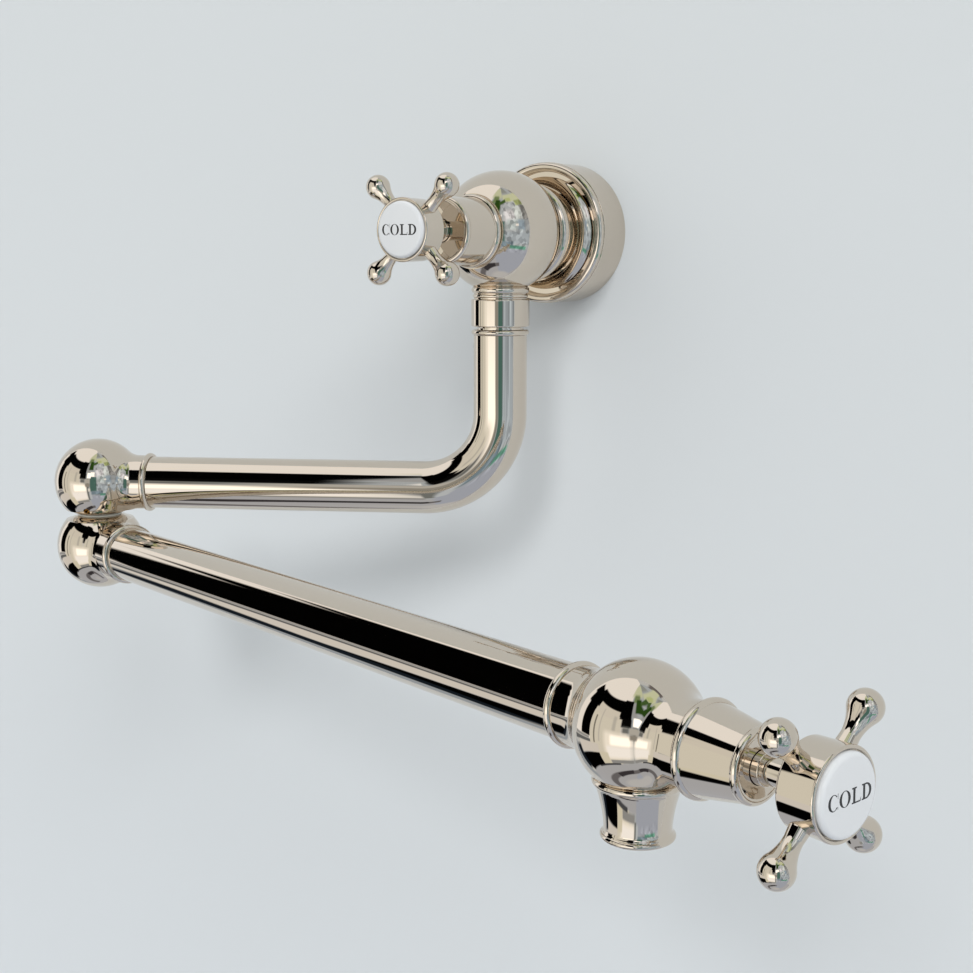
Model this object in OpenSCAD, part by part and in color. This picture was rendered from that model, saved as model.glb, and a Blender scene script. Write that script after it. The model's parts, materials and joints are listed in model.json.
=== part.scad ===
/* [Arms] */
// Outer diameter of both arm tubes
tube_d = 25; // [23:0.5:27]
// Wall thickness of both arm tubes
tube_wall = 1.5; // [1:0.1:2]
// Height from the upper arm's axis up to the inlet axis
arm_drop = 120; // [110:1:160]
// Centre-line radius of the bend in the upper arm
bend_radius = 36; // [30:1:45]
// Upper arm, from the vertical tube's axis to the knuckle's axis
upper_arm_length = 198; // [150:1:260]
// Lower arm, from the knuckle's axis to the centre of the outlet ball
lower_arm_length = 373; // [320:1:450]
// Angle between the upper arm and the wall, as the part stands
upper_arm_angle = 27.8; // [0:0.1:90]
// Angle between the lower arm and the wall, as the part stands
lower_arm_angle = 15.9; // [0:0.1:90]

/* [Balls and necks] */
// Diameter of the inlet ball
inlet_ball_d = 56; // [54:0.5:58]
// Diameter of the outlet ball
outlet_ball_d = 41.8; // [40.5:0.1:44]
// Diameter of each knuckle ball
knuckle_d = 41.8; // [40.5:0.1:44]
// Height between the centres of the two knuckle balls
knuckle_pitch = 31.6; // [30.8:0.1:33]
// Diameter of the flat where the two knuckle balls face each other
knuckle_flat_d = 21.6; // [21:0.1:24]
// Rise of each knuckle's bevel round its flat, per millimetre outward
knuckle_bevel = 0.43; // [0.35:0.01:0.5]
// Hollow radius between the tube neck of a ball and the ball
neck_cove = 11; // [8:0.5:13]
// Length of the upper knuckle, from its centre to the end of its neck
upper_neck_end = 24.7; // [23.5:0.1:28]
// Length of the lower knuckle, from its centre to the end of its neck
lower_neck_end = 30.1; // [27:0.1:33]
// Length of the outlet body towards the tube, from its centre to the end of its neck
outlet_neck_end = 26.1; // [25:0.1:29]
// Length of the spigot that each neck has inside its tube
neck_spigot = 12; // [8:0.5:15]

/* [Bead rings] */
// Height of the bead below the swivel collar over the tube
bead_proud = 1; // [0.8:0.1:1.3]
// Width of the bead below the swivel collar
base_bead_w = 2.7; // [2.4:0.1:3]
// Height of each ferrule over the tube
ferrule_proud = 1.7; // [1.4:0.1:2]
// Width of each ferrule along the tube
ferrule_w = 2.9; // [2.6:0.1:3.4]

/* [Wall side] */
// Distance from the wall to the vertical tube's axis
wall_to_axis = 57.5; // [57:0.5:62]
// Diameter of the wall rose
rose_d = 67; // [65:0.5:72]
// Depth of the rose's side, from the wall to its recessed floor
rose_side = 19.5; // [18.5:0.5:20.5]
// Thickness of the rose's wall and floor
rose_wall = 2.2; // [1.6:0.1:2.6]
// Section radius of the rose's raised front lip
rose_lip = 2.2; // [1.8:0.1:2.4]
// Diameter of the collar at its back edge
collar_back_d = 53.4; // [52.5:0.1:54.5]
// Diameter of the collar at its front edge
collar_front_d = 46.8; // [46.6:0.1:48]
// Length of the collar
collar_length = 18.7; // [17.7:0.1:18.9]
// Height of the collar's wide edge over the rose's floor
collar_step = 0.8; // [0.6:0.1:1.5]
// Steepness of the collar's flare at its wide edge in degrees
collar_slope = 55; // [45:1:62]
// Length of the collar's rounded front
collar_nose = 3; // [2:0.1:4]
// Diameter of the valve body's neck through the rose
neck_d = 38; // [37.6:0.1:38.6]
// Outer diameter of the half inch pipe thread
pipe_thread_d = 20.955; // [20.9:0.005:21]
// Length of pipe thread behind the wall's face
pipe_thread_length = 16; // [12:1:25]
// Length of pipe thread inside the valve body
tail_grip = 12; // [10:0.5:14]
// Thickness of the tail's spanner hexagon
tail_hex_t = 5; // [4:0.1:5.4]
// Width of the tail's spanner hexagon across its flats
tail_hex_af = 24; // [23:0.5:26]
// Thickness of the fibre washer
tail_washer_t = 1.5; // [1:0.1:1.8]
// Thickness of the rubber gasket at the wall
gasket_t = 2; // [1.5:0.1:3]
// Width of the rubber gasket at the wall
gasket_w = 2.4; // [1.5:0.1:3]
// Diameter of the waterways
water_d = 10; // [9:0.5:10.4]

/* [Base swivel] */
// Distance from the inlet axis down to the swivel collar's top
collar_top = 30.6; // [30.4:0.1:32]
// Distance from the inlet axis down to the swivel collar's bottom
collar_bottom = 43.4; // [43:0.1:46]
// Height of the collar over the tube
swivel_proud = 1.1; // [0.9:0.1:1.4]
// Wall thickness of the swivel collar
swivel_wall = 1.95; // [1.6:0.05:2.1]
// Thickness of the lip that closes the collar below
swivel_lip = 2.9; // [2:0.1:3.2]
// Wall thickness of the boss round the spigot
boss_wall = 3.1; // [2.8:0.1:3.4]
// Wall thickness of the swivel spigot
spigot_wall = 2.9; // [2.7:0.1:3.1]
// Thickness of the spigot's flange
spigot_flange = 1.6; // [1.2:0.1:1.9]
// Thickness of the plastic glide washer
glide_t = 0.75; // [0.5:0.05:1]
// Height of the spigot's top over the collar's top
spigot_rise = 11.6; // [11:0.1:12]

/* [Knuckle pivot] */
// Diameter of the pivot spigot
pivot_d = 16.84; // [16.5:0.02:17.2]
// Wall thickness of the pivot spigot
pivot_wall = 2.9; // [2.7:0.1:3.1]
// Thickness of the plastic ring between the knuckles
pivot_ring_t = 0.7; // [0.5:0.05:0.8]
// Distance from the joint plane up to the pivot's top
pivot_rise = 12.6; // [12:0.1:14]
// Distance from the joint plane down to the pivot's foot
pivot_depth = 11; // [8:0.1:11.4]
// Diameter of the pivot's grub screw
pivot_screw_d = 3; // [2.5:0.1:3.2]

/* [Headwork] */
// Distance from the inlet ball's centre to its headwork flange
inlet_boss = 29.1; // [28.6:0.1:30]
// Distance from the outlet ball's centre to its headwork flange
outlet_boss = 31; // [30.6:0.1:31.6]
// Thread diameter of the ceramic headwork
headwork_d = 18; // [17.6:0.1:18.2]
// Distance from the headwork's flange down to its seat
seat_depth = 36; // [35.5:0.1:36.5]
// Length of the headwork's thread
headwork_thread = 18; // [16:0.5:19]
// Thickness of each ceramic disc
disc_t = 3; // [2.6:0.1:3.4]
// Thickness of the seat seal
seal_t = 2; // [1.6:0.1:2.4]
// Width of the headwork's hexagon across its flats
hex_af = 18; // [16:0.5:18.4]
// Thickness of the headwork's flange
flange_t = 2; // [1.5:0.1:2.5]
// Thickness of the headwork's hexagon
hex_t = 6; // [5:0.5:7]
// Length of the headwork's gland in front of the hexagon
gland_t = 5; // [4:0.5:5.5]
// Diameter of the spindle
spindle_d = 10.2; // [9.6:0.1:10.4]
// Diameter of the spindle between the bonnet and the hub
spindle_neck_d = 8.4; // [8:0.1:8.6]
// Distance from the flange to the step in the spindle
spindle_step = 19.5; // [18.5:0.5:22]

/* [Bonnets] */
// Diameter of the inlet bonnet over its bead
inlet_bead_d = 32.8; // [32:0.1:33.2]
// Distance from the inlet ball's centre to its bonnet's bead
inlet_bead_at = 24; // [23.6:0.1:24.4]
// Diameter of the inlet bonnet's lip
inlet_lip_d = 30.2; // [29.6:0.1:31]
// Distance from the inlet ball's centre to its bonnet's lip
inlet_lip_at = 46.7; // [46:0.1:48]
// Diameter of the outlet bonnet over its bead
outlet_bead_d = 30.6; // [30:0.1:31.4]
// Distance from the outlet ball's centre to its bonnet's bead
outlet_bead_at = 28; // [27.6:0.1:28.4]
// Diameter of the outlet bonnet's lip
outlet_lip_d = 23; // [22.6:0.1:24]
// Distance from the outlet ball's centre to its bonnet's lip
outlet_lip_at = 48; // [47.6:0.1:49]
// outside diameter of the outlet body's boss under its bonnet
outlet_boss_d = 22.6; // [22.4:0.1:22.8]
// Width of each bonnet's bead
bonnet_bead_w = 3.2; // [2.8:0.1:3.4]
// Section radius of each bonnet's rounded lip
bonnet_lip = 1.5; // [1.3:0.05:1.6]
// Step from each bonnet's bead down to its taper
bonnet_step = 1.2; // [0.9:0.1:1.4]
// depth of the bonnet's flat face behind the front of its lip
bonnet_face = 0.25; // [0.2:0.05:0.5]
// thickness of that face
bonnet_face_t = 1.9; // [1.5:0.1:2]
// gap round the spindle in that face
bonnet_gap = 0.25; // [0.2:0.05:0.4]

/* [Cross handles] */
// Distance from the headwork's flange to the index disc's rim
index_at = 45.2; // [44.5:0.1:47]
// Length of the hub
hub_length = 12.3; // [11.9:0.1:13]
// Diameter of the hub at its front
hub_d = 27.2; // [26.8:0.1:28]
// Diameter of the hub at its back
hub_back_d = 26.6; // [26.2:0.1:27]
// Diameter of the porcelain index disc
index_d = 24.2; // [23.6:0.1:24.6]
// Thickness of the index disc at its edge
index_t = 1.9; // [1.7:0.1:2.1]
// Height of the index disc's domed face over its edge
index_dome = 0.2; // [0.1:0.1:0.5]
// radius of the disc's rounded shoulder
index_round = 1.7; // [1.2:0.1:1.9]
// radius of the round rim on the hub
rim_round = 0.66; // [0.6:0.02:0.68]
// turn of the outlet headwork and handle when closed, in degrees
outlet_turn = 1.6; // [-5:0.1:5]
// Distance from the valve's axis to the centre of each arm's ball
arm_reach = 25.9; // [25:0.1:30]
// Diameter of each arm's ball
arm_ball_d = 10.6; // [10:0.1:11.6]
// Diameter of each arm at its thinnest
arm_neck_d = 5.6; // [5.2:0.1:5.8]
// Hollow radius between an arm's neck and its ball
arm_cove = 14; // [10:1:18]
// Distance from the index disc's rim back to the arms' axes
arm_back = 7.6; // [7:0.1:7.9]
// Diameter of each arm's threaded root
arm_root_d = 4.8; // [4:0.1:5]

/* [Nozzle] */
// Distance from the outlet ball's centre down to the nozzle's top
nozzle_top = 15.5; // [15:0.1:16.4]
// Distance from the outlet ball's centre down to the nozzle's mouth
nozzle_bottom = 35.5; // [35:0.1:39]
// Diameter of the nozzle's bead
nozzle_bead_d = 28.9; // [28.2:0.1:29.4]
// Width of the nozzle's bead
nozzle_bead_w = 2.8; // [2.6:0.1:3.2]
// Diameter of the nozzle below its bead
nozzle_root_d = 26.8; // [26:0.1:27.4]
// Diameter of the nozzle above its lip
nozzle_waist_d = 21.2; // [20.8:0.1:21.6]
// Diameter of the nozzle's flared lip
nozzle_lip_d = 23.4; // [22.8:0.1:24]
// Length of the flared lip
nozzle_lip_h = 3.7; // [3.4:0.1:4.6]
// Diameter of the nozzle's thread in the outlet ball
nozzle_thread_d = 18.8; // [18.4:0.1:19.2]
// Diameter of the aerator
aerator_d = 17.7; // [17.2:0.1:18.2]
// Length of the aerator
aerator_h = 8.2; // [7:0.1:8.6]
// Depth of the nozzle's mouth below the aerator
mouth_depth = 2.3; // [2.1:0.1:2.6]

/* [Fits] */
// Clearance of pieces that are screwed or soldered together
fit = 0.05; // [0.03:0.01:0.07]
// Radial clearance of pieces that turn in each other
running = 0.06; // [0.04:0.01:0.08]
// Section diameter of the rubber rings on the swivels
ring_d = 1.44; // [1.3:0.02:1.5]
// Section diameter of the rubber rings on the spindles
spindle_ring_d = 1; // [0.9:0.02:1.04]

/* [Hidden] */
$fn = 96;

nickel = "tan";
brass = "goldenrod";
rubber = "dimgray";
plastic = "ivory";
ceramic = "white";
steel = "silver";

// a cutter longer than any piece
far = 400;
// steps of a curve that is drawn through computed points
curve_steps = 8;

tube_r = tube_d / 2;
spigot_r = tube_r - tube_wall - fit;
neck_r = tube_r + 0.6;
water_r = water_d / 2;
flat_at = (knuckle_pitch - pivot_ring_t - 0.1) / 2;
thread_r = pipe_thread_d / 2;

inlet_r = inlet_ball_d / 2;
outlet_r = outlet_ball_d / 2;
knuckle_r = knuckle_d / 2;
body_neck_r = neck_d / 2;
rose_r = rose_d / 2;

swivel_r = tube_r + swivel_proud;
boss_r = swivel_r - swivel_wall;
swivel_bore_r = boss_r - boss_wall;
swivel_spigot_r = swivel_bore_r - running;
swivel_water_r = swivel_spigot_r - spigot_wall;
lip_top = collar_bottom - swivel_lip;
flange_low = lip_top - glide_t - 0.05;
flange_high = flange_low - spigot_flange;
swivel_neck_r = boss_r - 1.9;
ring_depth = 0.97 * ring_d;

headwork_r = headwork_d / 2;
shell_r = headwork_r - 0.6;
chamber_r = headwork_r + 1.5;
disc_r = shell_r - 1.3;
port_at = 3.4;
port_r = 1.7;
seal_r = shell_r - 0.1;
port_top = seal_r + 0.5;
flange_r = headwork_r + 1.8;
spindle_r = spindle_d / 2;
spindle_neck_r = spindle_neck_d / 2;
disc_face = -seat_depth + seal_t + disc_t;
dog_at = disc_face + disc_t + 0.05;
hub_front = index_at - 0.7;
hub_back = hub_front - hub_length;
arms_at = index_at - arm_back;
square_w = spindle_neck_d / sqrt(2) - 0.2;
recess_depth = 1.3;
screw_seat = arms_at + 2.6;
ring_floor = index_at + 0.1 - index_t;

aerator_r = aerator_d / 2;
aerator_low = nozzle_bottom - mouth_depth;
aerator_high = aerator_low - aerator_h;
aerator_washer_t = 1;
nozzle_bore_r = 7;

// Places a valve part: the inlet ball's centre, Z along the valve's axis towards the handle
module at_inlet() {
    translate([0, -wall_to_axis, 0])
        rotate([90, 0, 0])
            children();
}

// The vertical tube's axis, X along the upper arm
module at_upper() {
    translate([0, -wall_to_axis, 0])
        rotate([0, 0, 180 + upper_arm_angle])
            children();
}

// The upper knuckle's centre, X back along the upper arm
module at_upper_knuckle() {
    at_upper()
        translate([upper_arm_length, 0, -arm_drop])
            rotate([0, 0, 180])
                children();
}

// The lower knuckle's centre, X along the lower arm
module at_lower() {
    translate([
        -upper_arm_length * cos(upper_arm_angle),
        -wall_to_axis - upper_arm_length * sin(upper_arm_angle),
        -arm_drop - knuckle_pitch
    ])
        rotate([0, 0, -lower_arm_angle])
            children();
}

// The outlet ball's centre, X along the lower arm
module at_outlet_ball() {
    at_lower()
        translate([lower_arm_length, 0, 0])
            children();
}

// The outlet ball's centre, Z along the lower arm towards the handle
module at_outlet() {
    at_outlet_ball()
        rotate([0, 90, 0])
            children();
}

// The inlet headwork's flange
module at_inlet_headwork() {
    at_inlet()
        translate([0, 0, inlet_boss])
            children();
}

// The outlet headwork's flange
module at_outlet_headwork() {
    at_outlet()
        translate([0, 0, outlet_boss])
            rotate([0, 0, outlet_turn])
                children();
}

// Turns a shape that was spun about Z so that it lies along X
module along_x() {
    rotate([0, 90, 0])
        children();
}

// Outline of a plain ring or rod, to be spun: inner and outer radius, lower and upper end
module band(r_in, r_out, low, high) {
    translate([r_in, low])
        square([r_out - r_in, high - low]);
}

// Outline of a rod with bevelled edges, to be spun
module soft_band(r_in, r_out, low, high, bevel) {
    polygon([
        [r_in, low], [r_out - bevel, low], [r_out - 0.3 * bevel, low + 0.3 * bevel], [r_out, low + bevel],
        [r_out, high - bevel], [r_out - 0.3 * bevel, high - 0.3 * bevel], [r_out - bevel, high], [r_in, high]
    ]);
}

// Outline of a bead ring: a flat ring with a round rim that stands a little wider than the ring
module bead(r_in, r_out, width, middle) {
    section = width / 2;
    core = 0.9 * section;
    intersection() {
        union() {
            band(r_in, r_out - section, middle - core, middle + core);
            translate([r_out - section, middle])
                circle(r = section);
        }
        band(r_in, r_out + 1, middle - width, middle + width);
    }
}

// Outline of half a ball on the axis
module half_ball(r) {
    intersection() {
        circle(r = r);
        band(0, r + 1, -r - 1, r + 1);
    }
}

// Outline of a neck that grows out of a ball through a hollow curve, upwards, or downwards with side -1
module neck(ball_r, r, cove, end, side = 1) {
    centre_r = r + cove;
    centre_z = sqrt(pow(ball_r + cove, 2) - pow(centre_r, 2));
    first = atan2(centre_z, centre_r);
    curve = [for (i = [1:curve_steps]) let (a = 180 + first * (1 - i / curve_steps))
        [centre_r + cove * cos(a), centre_z + cove * sin(a)]];
    start = 0.97 * ball_r * [cos(first), sin(first)];
    points = concat([[0, 0], start], curve, [[r, end], [0, end]]);
    last = len(points) - 1;
    polygon(side > 0 ? points : [for (i = [last:-1:0]) [points[i][0], -points[i][1]]]);
}

// A rubber ring of round section
module o_ring(r_inner, section_d, z) {
    translate([0, 0, z])
        rotate_extrude()
            translate([r_inner + section_d / 2, 0])
                circle(d = section_d);
}

// Outline of the groove that holds a rubber ring on a rod of radius r
module ring_groove(r, depth, width, z) {
    band(r - depth, r + 1, z - width / 2, z + width / 2);
}

// Threaded tail from the wall fitting into the valve body, with its spanner hexagon
module inlet_tail() {
    front = wall_to_axis - neck_back() - tail_washer_t;
    color(brass)
        rotate([90, 0, 0])
            difference() {
                union() {
                    translate([0, 0, -pipe_thread_length])
                        cylinder(r = thread_r, h = pipe_thread_length + front + tail_washer_t + tail_grip);
                    translate([0, 0, front - tail_hex_t])
                        rotate([0, 0, 30])
                            cylinder(d = tail_hex_af / cos(30), h = tail_hex_t, $fn = 6);
                }
                translate([0, 0, -far / 2])
                    cylinder(r = water_r + 1, h = far);
            }
}

// Distance from the ball's centre back to the end of the body's neck
function neck_back() = wall_to_axis - rose_side + rose_wall + 5.5;

module tail_washer() {
    color(rubber)
        at_inlet()
            translate([0, 0, -neck_back() - tail_washer_t])
                rotate_extrude()
                    band(thread_r + fit, thread_r + 4.5, 0.02, tail_washer_t - 0.02);
}

// Cup with a raised round lip and a recessed floor that the collar presses on
module wall_rose() {
    lip_r = rose_r - rose_lip - 0.1;
    color(nickel)
        rotate([90, 0, 0])
            rotate_extrude() {
                difference() {
                    union() {
                        band(body_neck_r + 0.2, rose_r, 0, rose_side);
                        translate([lip_r, rose_side + 0.5 * rose_lip])
                            circle(r = rose_lip);
                    }
                    band(0, rose_r - rose_wall, -1, rose_side - rose_wall);
                }
            }
}

module rose_gasket() {
    color(rubber)
        rotate([90, 0, 0])
            rotate_extrude()
                band(rose_r - rose_wall - gasket_w, rose_r - rose_wall - fit, 0, gasket_t);
}

// Flared collar that slides on the body's neck and clamps the rose
module rose_collar() {
    back_r = collar_back_d / 2;
    front_r = collar_front_d / 2;
    back = rose_side + 0.02;
    front = rose_side + collar_length;
    edge = rose_side + collar_step;
    // the collar opens in front so that it clears the ball
    clear_r = sqrt(pow(inlet_r, 2) - pow(wall_to_axis - front, 2)) + 0.4;
    clear_z = wall_to_axis - sqrt(pow(inlet_r, 2) - pow(body_neck_r, 2)) - 0.6;
    flare_r = (back_r - front_r) / (1 - cos(collar_slope));
    flare = [for (i = [0:curve_steps]) let (a = collar_slope * (1 - i / curve_steps))
        [front_r + flare_r * (1 - cos(a)), edge + flare_r * (sin(collar_slope) - sin(a))]];
    nose_w = front_r - clear_r - 0.2;
    nose = [for (i = [0:curve_steps]) let (a = 90 * i / curve_steps)
        [front_r - nose_w * (1 - cos(a)), front - collar_nose * (1 - sin(a))]];
    color(nickel)
        difference() {
            rotate([90, 0, 0])
                rotate_extrude()
                    polygon(concat(
                        [[body_neck_r + fit, back], [back_r - 0.4, back]],
                        flare, nose,
                        [[clear_r, front], [body_neck_r + fit, clear_z]]
                    ));
            at_collar_screw()
                cylinder(d = pivot_screw_d + 1 + 2 * fit, h = far);
        }
}

// The collar's screw: below the neck, Z pointing down out of the collar
module at_collar_screw() {
    translate([0, -rose_side - collar_length * 0.39, 0])
        rotate([180, 0, 0])
            children();
}

module collar_screw() {
    screw_d = pivot_screw_d + 1;
    color(steel)
        at_collar_screw()
            difference() {
                translate([0, 0, body_neck_r - 0.5])
                    cylinder(d = screw_d, h = 4.6);
                translate([0, 0, body_neck_r + 2.5])
                    cylinder(d = screw_d / 2, h = 5, $fn = 6);
            }
}

// First ball: neck to the wall, boss for the bonnet, boss for the swivel, and the waterways
module valve_body() {
    bonnet_back = inlet_bead_at - bonnet_bead_w / 2 - 0.02;
    boss_out_r = inlet_lip_d / 2 - bonnet_lip - 0.45;
    color(nickel)
        difference() {
            union() {
                at_inlet()
                    rotate_extrude()
                        difference() {
                            union() {
                                difference() {
                                    half_ball(inlet_r);
                                    band(0, far, bonnet_back, far);
                                }
                                band(0, body_neck_r, -neck_back(), 0);
                                band(0, boss_out_r, 0, inlet_boss);
                            }
                            band(0, thread_r + fit, -far, -neck_back() + tail_grip + 0.5);
                            waterway(inlet_boss);
                        }
                translate([0, -wall_to_axis, 0])
                    rotate_extrude() {
                        band(0, swivel_r - 1.2, -collar_top, -collar_top / 2);
                        bead(0, tube_r + bead_proud, 3.2, -collar_top + 4.1);
                        bead(0, tube_r + 0.4, 2, -collar_top + 1.4);
                        band(0, boss_r, -flange_high + 0.1, -collar_top / 2);
                    }
            }
            translate([0, -wall_to_axis, 0])
                rotate_extrude() {
                    band(0, swivel_bore_r, -far, -collar_top + spigot_rise + 0.6);
                    band(0, water_r + 1, -far, -port_top);
                }
            // dimple for the tip of the collar's screw
            at_collar_screw()
                translate([0, 0, body_neck_r - 0.55])
                    cylinder(d = pivot_screw_d + 1 + 2 * fit, h = 3);
            // the cut keeps the ball's lower boss clear of the headwork's chamber
            at_inlet()
                translate([0, 0, inlet_boss - seat_depth])
                    cylinder(r = chamber_r, h = seat_depth - headwork_thread);
        }
}

// Outline of the space for the headwork, from the ball's centre: water inlet, chamber, thread, ring seat
module waterway(boss) {
    seat = boss - seat_depth;
    band(0, water_r, -far, seat + 1);
    band(0, chamber_r, seat, boss - headwork_thread);
    band(0, headwork_r + fit, seat + 1, boss + 1);
    band(0, headwork_r + 1.35, boss - 1.3, boss + 1);
}

// Bonnet: beaded taper cover with a round lip and a flat face that the spindle passes through
module bonnet(bead_d, bead_at, lip_d, lip_at, boss, boss_out_r) {
    bead_r = bead_d / 2;
    lip_r = lip_d / 2;
    mouth_r = lip_r - 2 * bonnet_lip;
    back = bead_at - bonnet_bead_w / 2;
    lip_z = lip_at - bonnet_lip;
    face = lip_at - bonnet_face;
    face_back = face - bonnet_face_t;
    inner_r = boss_out_r + fit;
    color(nickel)
        rotate_extrude()
            difference() {
                union() {
                    bead(mouth_r, bead_r, bonnet_bead_w, bead_at);
                    polygon([
                        [mouth_r, back + 0.2], [bead_r - bonnet_step, back + 0.2],
                        [bead_r - bonnet_step, bead_at + bonnet_bead_w / 2 + 0.4],
                        [lip_r - 0.25, lip_z], [mouth_r, lip_z]
                    ]);
                    translate([lip_r - bonnet_lip, lip_z])
                        circle(r = bonnet_lip);
                    band(0, lip_r - bonnet_lip, face_back - 1, face);
                }
                polygon([
                    [0, back - 1], [inner_r, back - 1], [inner_r, boss + flange_t + hex_t + 1],
                    [mouth_r, face_back], [0, face_back]
                ]);
                band(0, spindle_r + bonnet_gap, back - 1, lip_at + 1);
            }
}

// Headwork: shell round the discs, side windows, thread, flange, hexagon and gland
module cartridge() {
    shell_back = -seat_depth + seal_t + 0.02;
    window = 5;
    color(brass)
        difference() {
            union() {
                rotate_extrude() {
                    band(0, shell_r, shell_back, -headwork_thread + 1);
                    band(0, headwork_r, -headwork_thread, -1.6);
                    band(0, headwork_r - 0.35, -2, 1);
                    band(0, flange_r, 0, flange_t);
                    soft_band(0, spindle_r + 1.7, flange_t + 1, flange_t + hex_t + gland_t, 0.4);
                }
                translate([0, 0, flange_t])
                    cylinder(d = hex_af / cos(30), h = hex_t, $fn = 6);
            }
            rotate_extrude() {
                band(0, disc_r + fit, -seat_depth - 1, -headwork_thread - 1);
                band(0, spindle_r + running, -headwork_thread - 2, far);
            }
            translate([-far / 2, -3, dog_at + 2.6])
                cube([far, 6, window]);
        }
}

module cartridge_ring() {
    color(rubber)
        o_ring(headwork_r - 0.3, 1.24, -0.65);
}

module seat_seal() {
    color(rubber)
        rotate_extrude()
            band(port_at + port_r + 0.1, seal_r, -seat_depth, -seat_depth + seal_t);
}

// Two round ports through a disc, on the X axis
module ports() {
    for (side = [-1, 1])
        translate([side * port_at, 0, -far / 2])
            cylinder(r = port_r, h = far);
}

module fixed_disc() {
    color(ceramic)
        difference() {
            translate([0, 0, disc_face - disc_t + 0.02])
                cylinder(r = disc_r, h = disc_t - 0.04);
            ports();
        }
}

// Upper disc, with the slot that the spindle's dog turns it by
module moving_disc() {
    color(ceramic)
        difference() {
            translate([0, 0, disc_face + 0.02])
                cylinder(r = disc_r + fit - running, h = disc_t - 0.04);
            rotate([0, 0, 90])
                ports();
            translate([-4.6, -1.3, disc_face + disc_t - 1.1])
                cube([9.2, 2.6, 2]);
        }
}

// Spindle with its dog, ring grooves, clip groove and square end
module spindle() {
    stem_end = screw_seat - 2;
    color(nickel)
        difference() {
            union() {
                rotate_extrude()
                    difference() {
                        union() {
                            band(0, 4, dog_at + 1.8, -headwork_thread);
                            band(0, spindle_r, -headwork_thread - 0.5, spindle_step);
                            band(0, spindle_neck_r, spindle_step - 1, hub_back + 0.5);
                        }
                        for (z = [-9, -4])
                            ring_groove(spindle_r, 0.97 * spindle_ring_d, 1.2 * spindle_ring_d, z);
                        ring_groove(spindle_r, 0.7, 0.8, clip_at());
                    }
                intersection() {
                    translate([0, 0, dog_at])
                        cylinder(r = disc_r - 0.3, h = 2);
                    translate([-far / 2, -1.6, dog_at])
                        cube([far, 3.2, 2]);
                }
                translate([-4.4, -1.2, dog_at - 1])
                    cube([8.8, 2.4, 1.5]);
                translate([-square_w / 2, -square_w / 2, hub_back])
                    cube([square_w, square_w, stem_end - hub_back]);
            }
            translate([0, 0, stem_end - 9])
                cylinder(r = 2 + fit, h = 10);
        }
}

// Distance from the flange to the middle of the spindle's clip
function clip_at() = flange_t + hex_t + gland_t + 0.7;

module spindle_seals() {
    color(rubber)
        for (z = [-9, -4])
            o_ring(spindle_r - 0.97 * spindle_ring_d + 0.02, spindle_ring_d - 0.02, z);
}

module spindle_clip() {
    color(steel)
        difference() {
            translate([0, 0, clip_at()])
                rotate_extrude()
                    band(spindle_r - 0.68, spindle_r + 1.2, -0.35, 0.35);
            translate([0, -1.5, clip_at() - 1])
                cube([far, 3, 2]);
        }
}

// Round hub: square socket, screw seat, recess for the index disc and four seats for the arms
module hub() {
    back_r = hub_back_d / 2;
    front_r = hub_d / 2;
    recess_r = index_d / 2 + 0.15;
    rim_z = index_at - rim_round;
    color(nickel)
        difference() {
            rotate_extrude()
                difference() {
                    union() {
                        polygon([
                            [0, hub_back], [back_r - 0.9, hub_back], [back_r - 0.25, hub_back + 0.25],
                            [back_r, hub_back + 0.9], [front_r, rim_z], [0, rim_z]
                        ]);
                        translate([front_r + 0.02 - rim_round, rim_z])
                            circle(r = rim_round);
                    }
                    band(0, recess_r, ring_floor - 0.02, far);
                    band(0, 4.1, screw_seat, far);
                    band(0, 2.2, -far, far);
                    band(0, spindle_neck_r + fit, -far, hub_back + 0.6);
                }
            translate([-square_w / 2 - fit, -square_w / 2 - fit, hub_back])
                cube([square_w + 2 * fit, square_w + 2 * fit, screw_seat - 1.9 - hub_back]);
            for (turn = [45:90:315])
                translate([0, 0, arms_at])
                    rotate([0, 90, turn])
                        rotate_extrude() {
                            band(0, arm_root_d / 2 + fit, 7, far);
                            band(0, arm_neck_d / 2 + 0.35, arm_seat(), far);
                        }
        }
}

// Distance from the valve's axis to the shoulder of each arm
function arm_seat() = hub_back_d / 2 - 0.7;

// Four arms: threaded root, thin neck, hollow flare and ball end
module cross_arms() {
    neck_at = arm_neck_d / 2;
    ball_r = arm_ball_d / 2;
    reach = sqrt(pow(arm_cove + ball_r, 2) - pow(arm_cove + neck_at, 2));
    centre = arm_reach - reach;
    last = atan2(reach, neck_at + arm_cove);
    flare = [for (i = [0:curve_steps]) let (a = -90 + last * i / curve_steps)
        [neck_at + arm_cove + arm_cove * sin(a), centre + arm_cove * cos(a)]];
    color(nickel)
        for (turn = [45:90:315])
            translate([0, 0, arms_at])
                rotate([0, 90, turn])
                    rotate_extrude()
                        union() {
                            band(0, arm_root_d / 2, 7.2, arm_seat() + 1);
                            polygon(concat(
                                [[0, arm_seat() + 0.02], [neck_at + 0.3, arm_seat() + 0.02],
                                    [neck_at + 0.3, arm_seat() + 0.9]],
                                flare,
                                [[0, arm_reach]]
                            ));
                            translate([0, arm_reach])
                                half_ball(ball_r);
                        }
}

module handle_screw() {
    color(steel)
        difference() {
            rotate_extrude() {
                band(0, 2, screw_seat - 9, screw_seat + 1);
                soft_band(0, 3.8, screw_seat + 0.02, screw_seat + 2.6, 0.4);
            }
            translate([-far / 2, -0.5, screw_seat + 1.6])
                cube([far, 1, 2]);
        }
}

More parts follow.
